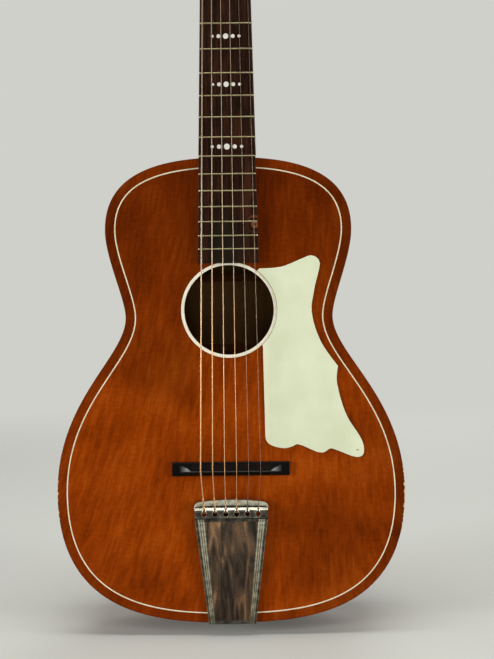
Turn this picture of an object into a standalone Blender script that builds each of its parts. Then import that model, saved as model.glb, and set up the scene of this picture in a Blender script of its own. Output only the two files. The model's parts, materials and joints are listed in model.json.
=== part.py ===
# A twelve-fret parlor guitar with a floating bridge, a plate tailpiece and open worm tuners.
# X runs from the bass side to the treble side, Y from the front to the back and Z up the neck.
# The origin is on the centreline, at the tail edge of the soundboard's face. Sizes are in metres.

import bmesh
import bpy
from math import asin, atan2, cos, hypot, pi, radians, sin, sqrt, tan
from mathutils import Matrix, Vector
from mathutils.geometry import interpolate_bezier

# Clearances
GAP = 0.0003                # between pieces that touch
WINDING_CLEAR = 0.0005      # between a string's turns and the post inside them
TURN_GAP = 0.00055          # between neighbouring turns of a string
CUT_OVER = 0.0100           # how far a cutter runs past the faces that it cuts
WELD_OVER = 0.0040          # how far two forms that are joined run into each other

# Body outline: widths across the body, heights above the tail edge
BODY_LENGTH = 0.463
BODY_DEPTH = 0.090
LOWER_WIDTH = 0.346
LOWER_Z = 0.130
WAIST_WIDTH = 0.2045
WAIST_Z = 0.3065
UPPER_WIDTH = 0.2425
UPPER_DROP = 0.071          # from the top edge down to the widest line of the upper bout
# How full each curve is: the handle's share of the way to the next anchor
TAIL_FULLNESS = 0.385
LOWER_FULLNESS_DOWN = 0.97
LOWER_FULLNESS_UP = 0.54
WAIST_FULLNESS_DOWN = 0.22
WAIST_FULLNESS_UP = 0.22
UPPER_FULLNESS_DOWN = 0.32
UPPER_FULLNESS_UP = 0.88
NECK_FULLNESS = 0.46
OUTLINE_STEPS = 8           # chords in each of the four curves

# Plates, sides and what glues them together
PLATE_THICKNESS = 0.0028
EDGE_OVERHANG = 0.0004      # of the plates past the ribs
RIB_THICKNESS = 0.0022
LINING_THICKNESS = 0.0050
LINING_HEIGHT = 0.0110
BLOCK_NECK_WIDTH = 0.062
BLOCK_NECK_LENGTH = 0.032
BLOCK_TAIL_WIDTH = 0.070
BLOCK_TAIL_LENGTH = 0.018
BRACE_WIDTH = 0.0080
BRACE_HEIGHT = 0.0120
BRACE_END_HEIGHT = 0.0050
BRACE_TAPER = 0.030
FRONT_BRACE_Z = (0.095, 0.245, 0.378)
BACK_BRACE_Z = (0.100, 0.185, 0.2705, 0.3465)

# Soundhole, ring and pickguard
HOLE_Z = 0.313
HOLE_RADIUS = 0.0443
RING_WIDTH = 0.0030
RING_DEPTH = 0.0016
HOLE_SIDES = 40
GUARD_THICKNESS = 0.0012
GUARD_INNER_X = 0.0322      # of its straight edge beside the strings
GUARD_EDGE_MARGIN = 0.0428  # from its widest point to the widest line of the body
GUARD_LENGTH = 0.2010
GUARD_STEPS = 3

# Scale, fingerboard and nut
SCALE_LENGTH = 0.616
SADDLE_Z = 0.155
FRET_COUNT = 18
BOARD_THICKNESS = 0.0055
BOARD_BEVEL = 0.0007
BOARD_NUT_WIDTH = 0.0420
BOARD_END_WIDTH = 0.0600
BOARD_OVERHANG = 0.0137     # of the board past its last fret
FRET_HEIGHT = 0.0010
FRET_WIDTH = 0.0015
FRET_CROWN = 0.0008
NUT_LENGTH = 0.0050
NUT_PITCH = 0.0077
NUT_ABOVE_STRINGS = 0.0002  # of the nut's front edge above the strings' centres
NUT_BACK_SLOPE = radians(3.0)  # more than the headstock's own angle
NOTCH_REACH = 0.0120        # of a notch cutter each way from the string's bend
NOTCH_SIDES = 8

# Neck
NECK_THICK_HEEL = 0.0195
NECK_THICK_NUT = 0.0150
NECK_OVERHANG = 0.0005      # of the neck's wood past the fingerboard, each side
HEEL_DEPTH = 0.0830
HEEL_CAP_REACH = 0.0170
HEEL_CAP_WIDTH = 0.0240
HEEL_SWEEP = 0.0620
HEEL_STEPS = 10
HEEL_CAP_FULLNESS = 0.38    # Bezier handle shares of the curve from the cap to the neck's back
HEEL_SWEEP_FULLNESS = 0.60
HEEL_JOINT_SHARE = 0.6      # of the heel's sections, those that start on the body's side
HEEL_FLARE = 1.3            # power by which the heel widens towards the board
HEEL_ROUNDNESS = 1.9        # powers of the D sections: 2 is an ellipse
NECK_ROUNDNESS = 2.2
NECK_STATIONS = 3
NECK_SIDES = 12
TENON_LENGTH = 0.0150
TENON_DEPTH = 0.0700
TENON_ROOT_WIDTH = 0.0170
TENON_END_WIDTH = 0.0250
TENON_FRONT = 0.0006

# Headstock
HEAD_ANGLE = radians(14.0)
HEAD_LENGTH = 0.136
HEAD_THICKNESS = 0.0150
HEAD_SHOULDER = 0.026       # length over which the head widens from the nut
HEAD_LOW_WIDTH = 0.0620
HEAD_TOP_WIDTH = 0.0680
HEAD_CREST = 0.0070
CREST_STEPS = 10
HEAD_SPARE = 0.0030         # wood above the crest before it is cut
HEAD_SQUARING = ((0.0, 2.6), (0.23, 3.2), (0.46, 5), (0.73, 9), (1.0, 14))  # share of the shoulder, power

# Bridge
BRIDGE_LENGTH = 0.1164
BRIDGE_FRONT = 0.0073       # from the ridge line towards the neck
BRIDGE_BACK = 0.0064        # from the ridge line towards the tail
BRIDGE_FOOT_HEIGHT = 0.0036
BRIDGE_RIDGE_LENGTH = 0.0785
BRIDGE_SCOOP = 0.0118
BRIDGE_RIDGE_WIDTH = 0.0014
BRIDGE_PITCH = 0.0118
BRIDGE_EDGE = 0.6           # height of the upright edges, as a share of the foot's
BRIDGE_FRONT_SHOULDER = 0.86
BRIDGE_BACK_SHOULDER = 0.72
BRIDGE_BACK_FALL = 0.7
BRIDGE_STEPS = 5
BRIDGE_STEP_POWER = 1.6     # packs the stations close where the scoop is steep

# Tailpiece: a pressed sheet
SHEET = 0.0010
TAIL_LEG = 0.058
TAIL_LEG_WIDTH = 0.030
LEG_END = ((0.0, 0.55), (0.0020, 0.85), (0.0060, 1.0))  # distance from the end, share of the leg's width
LEG_FLARE_DEPTH = 0.0200    # behind the face, where the leg starts to widen
LEG_SHOULDER_DEPTH = 0.0080
LEG_SHOULDER = 0.86         # share of the rim's width
TAIL_BEND = 0.0020          # inside radius of the fold over the tail edge
TAIL_BEND_STEPS = 4
TAIL_RIM_WIDTH = 0.0470
TAIL_TOP_WIDTH = 0.0725
TAIL_BEND_Z = 0.1066
TAIL_BASE_HEIGHT = 0.0060
ROLL_HEIGHT = 0.0030
ROLL_LENGTH = 0.0192
ROLL_CROWN = 0.0062         # how far the roll's middle stands past its shoulders
ROLL_LIP = 0.0042
ROLL_STEPS = 8
ROLL_NARROW_FROM = 0.7      # share of the roll after which its ends draw in
ROLL_NARROWING = 0.07
BEAD_INSET = 0.0026
BEAD_WIDTH = 0.0068
BEAD_HEIGHT = 0.0007
BEAD_STEPS = 4
BEAD_START_Z = 0.0050
BEAD_FULL_Z = 0.0090
BEAD_MIDDLE_Z = 0.0500
BEAD_END_FULL = 0.0060      # short of the plate's upper bend
BEAD_END = 0.0020
MIDDLE_COLUMN = 0.4         # share of the half width, inside the beads
TAIL_PITCH = 0.0107
KEYHOLE_Z = 0.1118
KEYHOLE_RADIUS = 0.00265
SLOT_END_Z = 0.1175
KEYHOLE_STEPS = 10
PIN_DEPTH = 0.045           # of the end pin behind the soundboard's face
PIN_RADIUS = 0.0034
PIN_TIP_RADIUS = 0.0030
PIN_STEM = 0.0150
PIN_HEAD_RADIUS = 0.0058
PIN_HEAD_LENGTH = 0.0105
PIN_HEAD_PROFILE = ((0.55, 1.0), (0.9, 0.88), (1.0, 0.66), (0.8, 0.42))  # shares of the radius and the length
PIN_NECK_SWELL = 1.2
PIN_NECK_SHARE = 0.24
PIN_COLLAR_SHARE = 0.95
PIN_COLLAR_HEIGHT = 0.0012
PIN_SIDES = 16
SCREW_DEPTH = 0.0150
SCREW_SPREAD = 0.0220
SCREW_RADIUS = 0.0014
SCREW_HEAD_RADIUS = 0.0030
SCREW_HEAD_HEIGHT = 0.0016
SCREW_LENGTH = 0.0120
SCREW_HEAD_PROFILE = ((0.45, 1.0), (0.85, 0.6))  # shares of the head's radius and height
SCREW_POINT_FROM = 0.7
SCREW_POINT_SHARE = 0.3

# Strings, from the lowest to the highest
STRING_NAMES = ("e_low", "a", "d", "g", "b", "e_high")
STRING_DIAMETERS = (0.00135, 0.00107, 0.00081, 0.00062, 0.00041, 0.00032)
STRING_TURNS = (2, 2, 2, 2, 3, 3)
TURN_POINTS = 10
STRING_AT_SADDLE = 0.0121   # centre height above the soundboard
STRING_AT_NUT = 0.0079
BALL_RADIUS = 0.0019
BALL_LENGTH = 0.0014
BALL_DEPTH = 0.0052         # of the ball's end under the roll's crest
BALL_BACK = 0.0040          # of the ball's end behind the slot's end
BALL_LEAN = 0.0001
STRING_RISE = ((0.0030, 0.0037), (0.0008, 0.0031))  # depth under the crest, distance behind the slot's end
STRING_OUT = 0.0015         # behind the slot's end, where the string lies on the crest
TAIL_CUT = 0.0030           # the cut end that stands off the post

# Tuners: places in the headstock's own frame, where the second axis runs up the head
POST_FIRST = 0.032
POST_TOP_MARGIN = 0.034     # from the last post to the head's top
POST_SIDE = 0.0205
POST_RADIUS = 0.0030
POST_WAIST = 0.0026
POST_RISE = 0.0130
WAIST_LOW = 0.0032
WAIST_HIGH = 0.0095
POST_CHAMFER = 0.0008
POST_TIP_SHARE = 0.75
STRING_LOW = 0.0042         # height at which the string meets the post
POST_HOLE = 0.0010
POST_HOLE_SIDES = 6
SEAT_RADIUS = 0.0020
SHOULDER_RADIUS = 0.0042
CAP_RADIUS = 0.0034
CAP_HEIGHT = 0.0012
CAP_EDGE_SHARE = 0.8
BASE_THICKNESS = 0.0010
BASE_WIDTH = 0.0150
BASE_CORNER = 0.0026
CORNER_STEPS = 2
BASE_MARGIN_LOW = 0.0170
BASE_MARGIN_HIGH = 0.0110
EAR_THICKNESS = 0.0012
EAR_WIDTH = 0.0064
EAR_STEPS = 4
WHEEL_TEETH = 14
TOOTH_PITCH = 0.00224
WHEEL_THICKNESS = 0.0030
WORM_PITCH_RADIUS = 0.0027
ADDENDUM = 0.0006
DEDENDUM = 0.00075
THREAD_WIDTH = 0.00090      # at the pitch line
TOOTH_WIDTH = 0.00085       # at the pitch line
FLANK_ANGLE = radians(18.0)
WORM_TURNS = 3
ROUND = 10                  # sides of small round parts
BUTTON_LENGTH = 0.0150
BUTTON_HEIGHT = 0.0185
BUTTON_THICKNESS = 0.0082
BUTTON_NECK_RADIUS = 0.0031
BUTTON_COLLAR = 0.16        # share of the length
BUTTON_PROFILE = ((0.27, 0.62, 0.86), (0.45, 0.94, 1.0), (0.66, 1.0, 0.98), (0.86, 0.8, 0.8),
                  (1.0, 0.4, 0.42))  # shares of the length, the height and the thickness
BUTTON_SIDES = 12
BUTTON_OFFSET = 0.0030      # from the head's edge to the button's collar
SHAFT_SEAT = 0.0060         # how deep the shaft sits in the button

# Places worked out from the sizes above
NUT_Z = SADDLE_Z + SCALE_LENGTH
JOINT_Z = BODY_LENGTH + GAP
BOARD_TOP = GAP + BOARD_THICKNESS
BOARD_END_Z = SADDLE_Z + SCALE_LENGTH / 2 ** (FRET_COUNT / 12) - BOARD_OVERHANG
INNER_FRONT = PLATE_THICKNESS
INNER_BACK = BODY_DEPTH - PLATE_THICKNESS
RIB_FACE = EDGE_OVERHANG + RIB_THICKNESS + GAP
LINING_FACE = RIB_FACE + LINING_THICKNESS + GAP
RING_RADIUS = HOLE_RADIUS + RING_WIDTH
POST_SPACING = (HEAD_LENGTH - POST_FIRST - POST_TOP_MARGIN) / 2
WHEEL_RADIUS = WHEEL_TEETH * TOOTH_PITCH / (2 * pi)
WORM_DISTANCE = WHEEL_RADIUS + WORM_PITCH_RADIUS
WORM_ROOT = WORM_PITCH_RADIUS - DEDENDUM
WORM_TIP = WORM_PITCH_RADIUS + ADDENDUM
BASE_FACE = -(HEAD_THICKNESS + GAP + BASE_THICKNESS)
WORM_LEVEL = BASE_FACE - GAP - WORM_TIP
WORM_REACH = WORM_TURNS * TOOTH_PITCH / 2 + THREAD_WIDTH + GAP
HEAD_ORIGIN = Vector((0, 0, NUT_Z + NUT_LENGTH + GAP))
HEAD = Matrix.Translation(HEAD_ORIGIN) @ Matrix((
    (1, 0, 0, 0),
    (0, sin(HEAD_ANGLE), -cos(HEAD_ANGLE), 0),
    (0, cos(HEAD_ANGLE), sin(HEAD_ANGLE), 0),
    (0, 0, 0, 1)))

FINISHES = {
    "stained_top": ((0.27, 0.07, 0.012), 0.30, 0.0),
    "stained_side": ((0.16, 0.035, 0.008), 0.32, 0.0),
    "bare_spruce": ((0.55, 0.38, 0.20), 0.75, 0.0),
    "neck_wood": ((0.12, 0.03, 0.012), 0.35, 0.0),
    "black_wood": ((0.012, 0.010, 0.010), 0.40, 0.0),
    "board_wood": ((0.035, 0.015, 0.012), 0.50, 0.0),
    "cream_plastic": ((0.85, 0.80, 0.62), 0.35, 0.0),
    "guard_plastic": ((0.72, 0.76, 0.55), 0.30, 0.0),
    "bone": ((0.80, 0.74, 0.58), 0.45, 0.0),
    "nickel": ((0.62, 0.58, 0.52), 0.25, 1.0),
    "brass": ((0.70, 0.50, 0.22), 0.35, 1.0),
    "bronze_wire": ((0.55, 0.36, 0.20), 0.40, 1.0),
    "steel_wire": ((0.60, 0.60, 0.60), 0.28, 1.0),
}


def clear_scene():
    for obj in list(bpy.data.objects):
        bpy.data.objects.remove(obj)


def finish(name):
    material = bpy.data.materials.get(name)
    if material is None:
        colour, roughness, metallic = FINISHES[name]
        material = bpy.data.materials.new(name)
        material.use_nodes = True
        shader = material.node_tree.nodes["Principled BSDF"]
        shader.inputs["Base Color"].default_value = (*colour, 1)
        shader.inputs["Roughness"].default_value = roughness
        shader.inputs["Metallic"].default_value = metallic
    return material


def add_object(name, bm, look, place=None):
    """Closes a bmesh into a named object with its faces pointing out."""
    bmesh.ops.recalc_face_normals(bm, faces=bm.faces)
    mesh = bpy.data.meshes.new(name)
    bm.to_mesh(mesh)
    bm.free()
    mesh.materials.append(finish(look))
    mesh.shade_smooth()
    mesh.set_sharp_from_angle(angle=radians(35))
    obj = bpy.data.objects.new(name, mesh)
    obj.matrix_world = place or Matrix()
    bpy.context.collection.objects.link(obj)
    return obj


def skin_rings(bm, rings):
    """Joins rings of equal length one after another and closes both ends."""
    layers = [[bm.verts.new(point) for point in ring] for ring in rings]
    count = len(layers[0])
    for low, high in zip(layers, layers[1:]):
        for i in range(count):
            j = (i + 1) % count
            bm.faces.new((low[i], low[j], high[j], high[i]))
    bm.faces.new(layers[0])
    bm.faces.new(layers[-1])


def loft(name, rings, look, place=None):
    bm = bmesh.new()
    skin_rings(bm, rings)
    return add_object(name, bm, look, place)


def solids(name, groups, look, place=None):
    """Several lofts in one mesh, used for cutters."""
    bm = bmesh.new()
    for rings in groups:
        skin_rings(bm, rings)
    return add_object(name, bm, look, place)


def plate_rings(outline, front, back):
    return [[(x, y, z) for x, z in outline] for y in (front, back)]


def circle(radius, sides, turn=0.0):
    return [(radius * cos(2 * pi * i / sides + turn), radius * sin(2 * pi * i / sides + turn))
            for i in range(sides)]


def turned_rings(profile, sides=ROUND, turn=0.0):
    """Rings round the local Z axis, for (radius, height) pairs."""
    return [[(x, y, height) for x, y in circle(radius, sides, turn)] for radius, height in profile]


def combine(target, other, operation):
    other.hide_render = True
    other.display_type = "WIRE"
    modifier = target.modifiers.new(other.name, "BOOLEAN")
    modifier.operation = operation
    modifier.solver = "EXACT"
    modifier.object = other


def cut(target, other):
    combine(target, other, "DIFFERENCE")


def weld(target, other):
    combine(target, other, "UNION")


def bent(points, steps):
    """A Bezier curve through two end points with two handles, as (x, z) points."""
    ends = [Vector((x, z, 0)) for x, z in points]
    return [(p.x, p.y) for p in interpolate_bezier(*ends, steps + 1)]


def half_outline():
    """The right half of the body's edge, from the tail to the neck."""
    low, waist, high = LOWER_WIDTH / 2, WAIST_WIDTH / 2, UPPER_WIDTH / 2
    upper_z = BODY_LENGTH - UPPER_DROP
    rise, fall = WAIST_Z - LOWER_Z, upper_z - WAIST_Z
    curves = (
        ((0, 0), (low * TAIL_FULLNESS, 0), (low, LOWER_Z * (1 - LOWER_FULLNESS_DOWN)), (low, LOWER_Z)),
        ((low, LOWER_Z), (low, LOWER_Z + rise * LOWER_FULLNESS_UP),
         (waist, WAIST_Z - rise * WAIST_FULLNESS_DOWN), (waist, WAIST_Z)),
        ((waist, WAIST_Z), (waist, WAIST_Z + fall * WAIST_FULLNESS_UP),
         (high, upper_z - fall * UPPER_FULLNESS_DOWN), (high, upper_z)),
        ((high, upper_z), (high, upper_z + UPPER_DROP * UPPER_FULLNESS_UP),
         (high * NECK_FULLNESS, BODY_LENGTH), (0, BODY_LENGTH)))
    points = [(0.0, 0.0)]
    for curve in curves:
        points += bent(curve, OUTLINE_STEPS)[1:]
    return points


def inset(points, distance):
    """The half outline moved inwards, square to itself."""
    mirrored = [(-points[1][0], points[1][1])] + points + [(-points[-2][0], points[-2][1])]
    moved = []
    for before, point, after in zip(mirrored, points, mirrored[2:]):
        dx, dz = after[0] - before[0], after[1] - before[1]
        length = hypot(dx, dz)
        moved.append((point[0] - dz / length * distance, point[1] + dx / length * distance))
    return moved


def trim(points, tail_x, neck_x):
    """The stretch of a half outline that lies past tail_x at the tail and past neck_x at the neck."""
    def entry(run, limit):
        for i, (a, b) in enumerate(zip(run, run[1:])):
            if a[0] <= limit < b[0]:
                share = (limit - a[0]) / (b[0] - a[0])
                return [(limit, a[1] + (b[1] - a[1]) * share)] + run[i + 1:]
    return entry(entry(points, tail_x)[::-1], neck_x)[::-1]


def half_width(points, z):
    """Half of the body's width at height z, on a half outline."""
    for a, b in zip(points, points[1:]):
        if a[1] <= z <= b[1]:
            return a[0] + (b[0] - a[0]) * (z - a[1]) / (b[1] - a[1])


def whole_outline(distance=0.0):
    half = inset(half_outline(), distance)
    return half + [(-x, z) for x, z in half[-2:0:-1]]


def tenon_outline(clearance, out):
    """The dovetail seen from the front, from past the joint down into the block."""
    root, end = TENON_ROOT_WIDTH / 2 + clearance, TENON_END_WIDTH / 2 + clearance
    low = JOINT_Z - TENON_LENGTH - clearance
    return [(-root, out), (-root, JOINT_Z), (-end, low), (end, low), (root, JOINT_Z), (root, out)]


def make_soundboard():
    board = loft("soundboard", plate_rings(whole_outline(), 0, PLATE_THICKNESS), "stained_top")
    bore = Matrix.Translation((0, 0, HOLE_Z)) @ Matrix.Rotation(-pi / 2, 4, "X")
    seat = RING_DEPTH + GAP
    profile = ((RING_RADIUS + GAP, -CUT_OVER), (RING_RADIUS + GAP, seat), (HOLE_RADIUS, seat),
               (HOLE_RADIUS, CUT_OVER))
    cut(board, loft("soundhole_cutter", turned_rings(profile, HOLE_SIDES), "bare_spruce", bore))
    notch = tenon_outline(GAP, BODY_LENGTH + CUT_OVER)
    cut(board, loft("soundboard_notch", plate_rings(notch, -CUT_OVER, CUT_OVER), "bare_spruce"))


def make_ring():
    """A flat ring, sunk flush into the soundboard."""
    bm = bmesh.new()
    rings = []
    section = ((RING_RADIUS, 0), (RING_RADIUS, RING_DEPTH), (HOLE_RADIUS, RING_DEPTH), (HOLE_RADIUS, 0))
    for radius, y in section:
        rings.append([bm.verts.new((x, y, HOLE_Z + z)) for x, z in circle(radius, HOLE_SIDES)])
    for a, b in zip(rings, rings[1:] + rings[:1]):
        for i in range(HOLE_SIDES):
            j = (i + 1) % HOLE_SIDES
            bm.faces.new((a[i], a[j], b[j], b[i]))
    add_object("soundhole_ring", bm, "cream_plastic")


# Pickguard outline: (across, up, corner). Across runs from the straight inner edge, 0, to the widest
# point, 1. Up is measured from the soundhole's centre, in lengths of the guard. What lies inside the
# soundhole's ring is cut away.
GUARD_ANCHORS = (
    (-0.0265, 0.2020, True), (0.1939, 0.2095, False), (0.4153, 0.2512, False), (0.4888, 0.2627, False),
    (0.5551, 0.2502, False), (0.5796, 0.2189, False), (0.5235, 0.0985, False), (0.4959, -0.0149, False),
    (0.5857, -0.1607, False), (0.7541, -0.2806, True), (0.7408, -0.3632, False), (0.8316, -0.5239, False),
    (0.9867, -0.6557, False), (1.0, -0.7239, False), (0.9265, -0.7373, False), (0.7255, -0.7015, False),
    (0.6663, -0.6945, False), (0.6020, -0.7129, False), (0.5327, -0.7100, False), (0.3398, -0.6716, False),
    (0.2786, -0.6831, False), (0.2061, -0.6955, False), (0.0796, -0.6836, False), (0.0204, -0.6468, False),
    (0.0, -0.1791, True), (-0.1755, -0.0647, True), (-0.1755, 0.1343, True))


def guard_outline():
    """A closed curve through the anchors, with no bend carried across a corner."""
    width = LOWER_WIDTH / 2 - GUARD_EDGE_MARGIN - GUARD_INNER_X
    anchors = [(GUARD_INNER_X + across * width, HOLE_Z + up * GUARD_LENGTH, corner)
               for across, up, corner in GUARD_ANCHORS]
    count = len(anchors)
    slopes = []
    for i, (x, z, corner) in enumerate(anchors):
        before, after = anchors[i - 1], anchors[(i + 1) % count]
        slopes.append((0, 0) if corner else ((after[0] - before[0]) / 6, (after[1] - before[1]) / 6))
    points = []
    for i, (x, z, corner) in enumerate(anchors):
        j = (i + 1) % count
        end = anchors[j]
        handles = ((x, z), (x + slopes[i][0], z + slopes[i][1]),
                   (end[0] - slopes[j][0], end[1] - slopes[j][1]), (end[0], end[1]))
        straight = corner and end[2]
        points += [(x, z)] if straight else bent(handles, GUARD_STEPS)[:-1]
    return points


def make_pickguard():
    guard = loft("pickguard", plate_rings(guard_outline(), -GAP - GUARD_THICKNESS, -GAP), "guard_plastic")
    bore = Matrix.Translation((0, 0, HOLE_Z)) @ Matrix.Rotation(-pi / 2, 4, "X")
    rings = turned_rings(((RING_RADIUS + GAP, -CUT_OVER), (RING_RADIUS + GAP, CUT_OVER)), HOLE_SIDES)
    cut(guard, loft("pickguard_cutter", rings, "guard_plastic", bore))


def strip_rings(face, thickness, front, back, tail_x, neck_x, side):
    """A wall that follows the outline: four corners at each point."""
    outline = half_outline()
    outer = trim(inset(outline, face), tail_x, neck_x)
    inner = trim(inset(outline, face + thickness), tail_x, neck_x)
    count = max(len(outer), len(inner))
    outer = [outer[0]] * (count - len(outer)) + outer
    inner = [inner[0]] * (count - len(inner)) + inner
    return [[(side * a[0], front, a[1]), (side * a[0], back, a[1]),
             (side * b[0], back, b[1]), (side * b[0], front, b[1])] for a, b in zip(outer, inner)]


def make_sides():
    flare = (TENON_END_WIDTH - TENON_ROOT_WIDTH) / 2 * (RIB_FACE + GAP) / TENON_LENGTH
    neck_x = TENON_ROOT_WIDTH / 2 + flare + GAP
    for name, side in (("bass", -1), ("treble", 1)):
        front, back = INNER_FRONT + GAP, INNER_BACK - GAP
        wall = strip_rings(EDGE_OVERHANG, RIB_THICKNESS, front, back, GAP / 2, neck_x, side)
        rib = loft(f"{name}_rib", wall, "stained_side")
        cut(rib, solids(f"{name}_rib_cutter", tail_holes(-CUT_OVER, CUT_OVER), "stained_side"))
        limits = BLOCK_TAIL_WIDTH / 2 + GAP, BLOCK_NECK_WIDTH / 2 + GAP, side
        for plate, low in (("front", front), ("back", back - LINING_HEIGHT)):
            lining = strip_rings(RIB_FACE, LINING_THICKNESS, low, low + LINING_HEIGHT, *limits)
            loft(f"{plate}_lining_{name}", lining, "bare_spruce")


def block_outline(width, inner_z, at_tail):
    """A block whose outer face follows the ribs and whose inner face is flat."""
    half = inset(half_outline(), RIB_FACE)
    edge = trim(half, width / 2, width / 2)
    near = [p for p in half if p[0] < width / 2 and (p[1] < LOWER_Z) == at_tail]
    corner = edge[0] if at_tail else edge[-1]
    curve = near + [corner] if at_tail else near[::-1] + [corner]
    right = [(x, z) for x, z in curve]
    left = [(-x, z) for x, z in curve[:0:-1]]
    return left + right + [(width / 2, inner_z), (-width / 2, inner_z)]


def make_blocks():
    front, back = INNER_FRONT + GAP, INNER_BACK - GAP
    neck_low = BODY_LENGTH - RIB_FACE - BLOCK_NECK_LENGTH
    outline = block_outline(BLOCK_NECK_WIDTH, neck_low, False)
    block = loft("neck_block", plate_rings(outline, front, back), "bare_spruce")
    mortise = tenon_outline(GAP, BODY_LENGTH + CUT_OVER)
    cut(block, loft("mortise_cutter", plate_rings(mortise, -CUT_OVER, TENON_DEPTH + GAP), "bare_spruce"))
    tail_high = RIB_FACE + BLOCK_TAIL_LENGTH
    outline = block_outline(BLOCK_TAIL_WIDTH, tail_high, True)
    block = loft("tail_block", plate_rings(outline, front, back), "bare_spruce")
    cut(block, solids("tail_block_cutter", tail_holes(-CUT_OVER, tail_high + CUT_OVER), "bare_spruce"))


def make_back():
    loft("back_plate", plate_rings(whole_outline(), INNER_BACK, BODY_DEPTH), "stained_side")


def brace_rings(z, face, direction):
    """A bar across the body with its ends scooped down, standing on a plate's inner face."""
    inner = inset(half_outline(), LINING_FACE)
    reach = min(half_width(inner, z - BRACE_WIDTH / 2), half_width(inner, z + BRACE_WIDTH / 2))
    middle = reach - BRACE_TAPER
    low, end, top = (face + direction * h for h in (GAP, BRACE_END_HEIGHT, BRACE_HEIGHT))
    shape = ((-reach, low), (reach, low), (reach, end), (middle, top), (-middle, top), (-reach, end))
    return [[(x, y, z + shift) for x, y in shape] for shift in (-BRACE_WIDTH / 2, BRACE_WIDTH / 2)]


def make_braces():
    for i, z in enumerate(FRONT_BRACE_Z, 1):
        loft(f"front_brace_{i}", brace_rings(z, INNER_FRONT, 1), "bare_spruce")
    for i, z in enumerate(BACK_BRACE_Z, 1):
        loft(f"back_brace_{i}", brace_rings(z, INNER_BACK, -1), "bare_spruce")


def board_half(z):
    """Half of the fingerboard's width: straight edges that widen from the nut."""
    share = (NUT_Z - z) / (NUT_Z - BOARD_END_Z)
    return (BOARD_NUT_WIDTH + (BOARD_END_WIDTH - BOARD_NUT_WIDTH) * share) / 2


def fret_z(number):
    return SADDLE_Z + SCALE_LENGTH / 2 ** (number / 12)


def make_fingerboard():
    """One long section whose top rises over each fret."""
    stations = [(BOARD_END_Z, 0.0)]
    for number in range(FRET_COUNT, 0, -1):
        z = fret_z(number)
        stations += [(z - FRET_WIDTH / 2, 0.0), (z - FRET_CROWN / 2, FRET_HEIGHT),
                     (z + FRET_CROWN / 2, FRET_HEIGHT), (z + FRET_WIDTH / 2, 0.0)]
    stations.append((NUT_Z - GAP, 0.0))
    rings = []
    for z, rise in stations:
        half = board_half(z)
        shoulder, crown = -(BOARD_TOP - BOARD_BEVEL), -(BOARD_TOP + rise)
        rings.append([(-half, -GAP, z), (-half, shoulder, z), (-half + BOARD_BEVEL, crown, z),
                      (half - BOARD_BEVEL, crown, z), (half, shoulder, z), (half, -GAP, z)])
    loft("fingerboard", rings, "board_wood")


def head_half(a):
    """Half of the headstock's width at a distance up from the nut."""
    low, nut = HEAD_LOW_WIDTH / 2, BOARD_NUT_WIDTH / 2 + NECK_OVERHANG
    if a < HEAD_SHOULDER:
        return nut + (low - nut) * (1 - cos(pi * a / HEAD_SHOULDER)) / 2
    share = (a - HEAD_SHOULDER) / (HEAD_LENGTH - HEAD_SHOULDER)
    return low + (HEAD_TOP_WIDTH / 2 - low) * share


def neck_section(rail, centre, half, power):
    """A D section: straight across the rail, and round the centre at the back."""
    ring = []
    for i in range(NECK_SIDES + 1):
        angle = pi * i / NECK_SIDES
        along = -cos(angle)
        x = half * (abs(along) ** (2 / power)) * (1 if along > 0 else -1)
        share = abs(sin(angle)) ** (2 / power) if 0 < i < NECK_SIDES else 0.0
        point = rail + (centre - rail) * share
        ring.append((x, point.y, point.z))
    return ring


def neck_rings():
    """D sections: down the heel, along the neck and, growing square, up the headstock."""
    rings = []
    reach = JOINT_Z + HEEL_CAP_REACH
    sweep_end = JOINT_Z + HEEL_SWEEP
    back = bent(((HEEL_DEPTH, reach), (HEEL_DEPTH * (1 - HEEL_CAP_FULLNESS), reach),
                 (NECK_THICK_HEEL, sweep_end - HEEL_SWEEP * HEEL_SWEEP_FULLNESS),
                 (NECK_THICK_HEEL, sweep_end)), HEEL_STEPS)
    cap_half = HEEL_CAP_WIDTH / 2
    joint_half = board_half(JOINT_Z) + NECK_OVERHANG
    for i, (y, z) in enumerate(back):
        share = i / HEEL_STEPS
        if share < HEEL_JOINT_SHARE:
            rail = Vector((0, HEEL_DEPTH * (1 - share / HEEL_JOINT_SHARE), JOINT_Z))
            half = cap_half + (joint_half - cap_half) * (1 - rail.y / HEEL_DEPTH) ** HEEL_FLARE
        else:
            rail = Vector((0, 0, JOINT_Z + HEEL_SWEEP * (share - HEEL_JOINT_SHARE) / (1 - HEEL_JOINT_SHARE)))
            half = board_half(rail.z) + NECK_OVERHANG
        power = HEEL_ROUNDNESS + (NECK_ROUNDNESS - HEEL_ROUNDNESS) * share
        rings.append(neck_section(rail, Vector((0, y, z)), half, power))
    for i in range(1, NECK_STATIONS + 1):
        share = i / NECK_STATIONS
        z = sweep_end + (NUT_Z - sweep_end) * share
        thick = NECK_THICK_HEEL + (NECK_THICK_NUT - NECK_THICK_HEEL) * share
        half = board_half(z) + NECK_OVERHANG
        rings.append(neck_section(Vector((0, 0, z)), Vector((0, thick, z)), half, NECK_ROUNDNESS))
    stations = [(HEAD_SHOULDER * share, power) for share, power in HEAD_SQUARING]
    stations.append((HEAD_LENGTH + HEAD_SPARE, HEAD_SQUARING[-1][1]))
    for a, power in stations:
        rail, centre = HEAD @ Vector((0, a, 0)), HEAD @ Vector((0, a, -HEAD_THICKNESS))
        rings.append(neck_section(rail, centre, head_half(min(a, HEAD_LENGTH)), power))
    return rings


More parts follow.
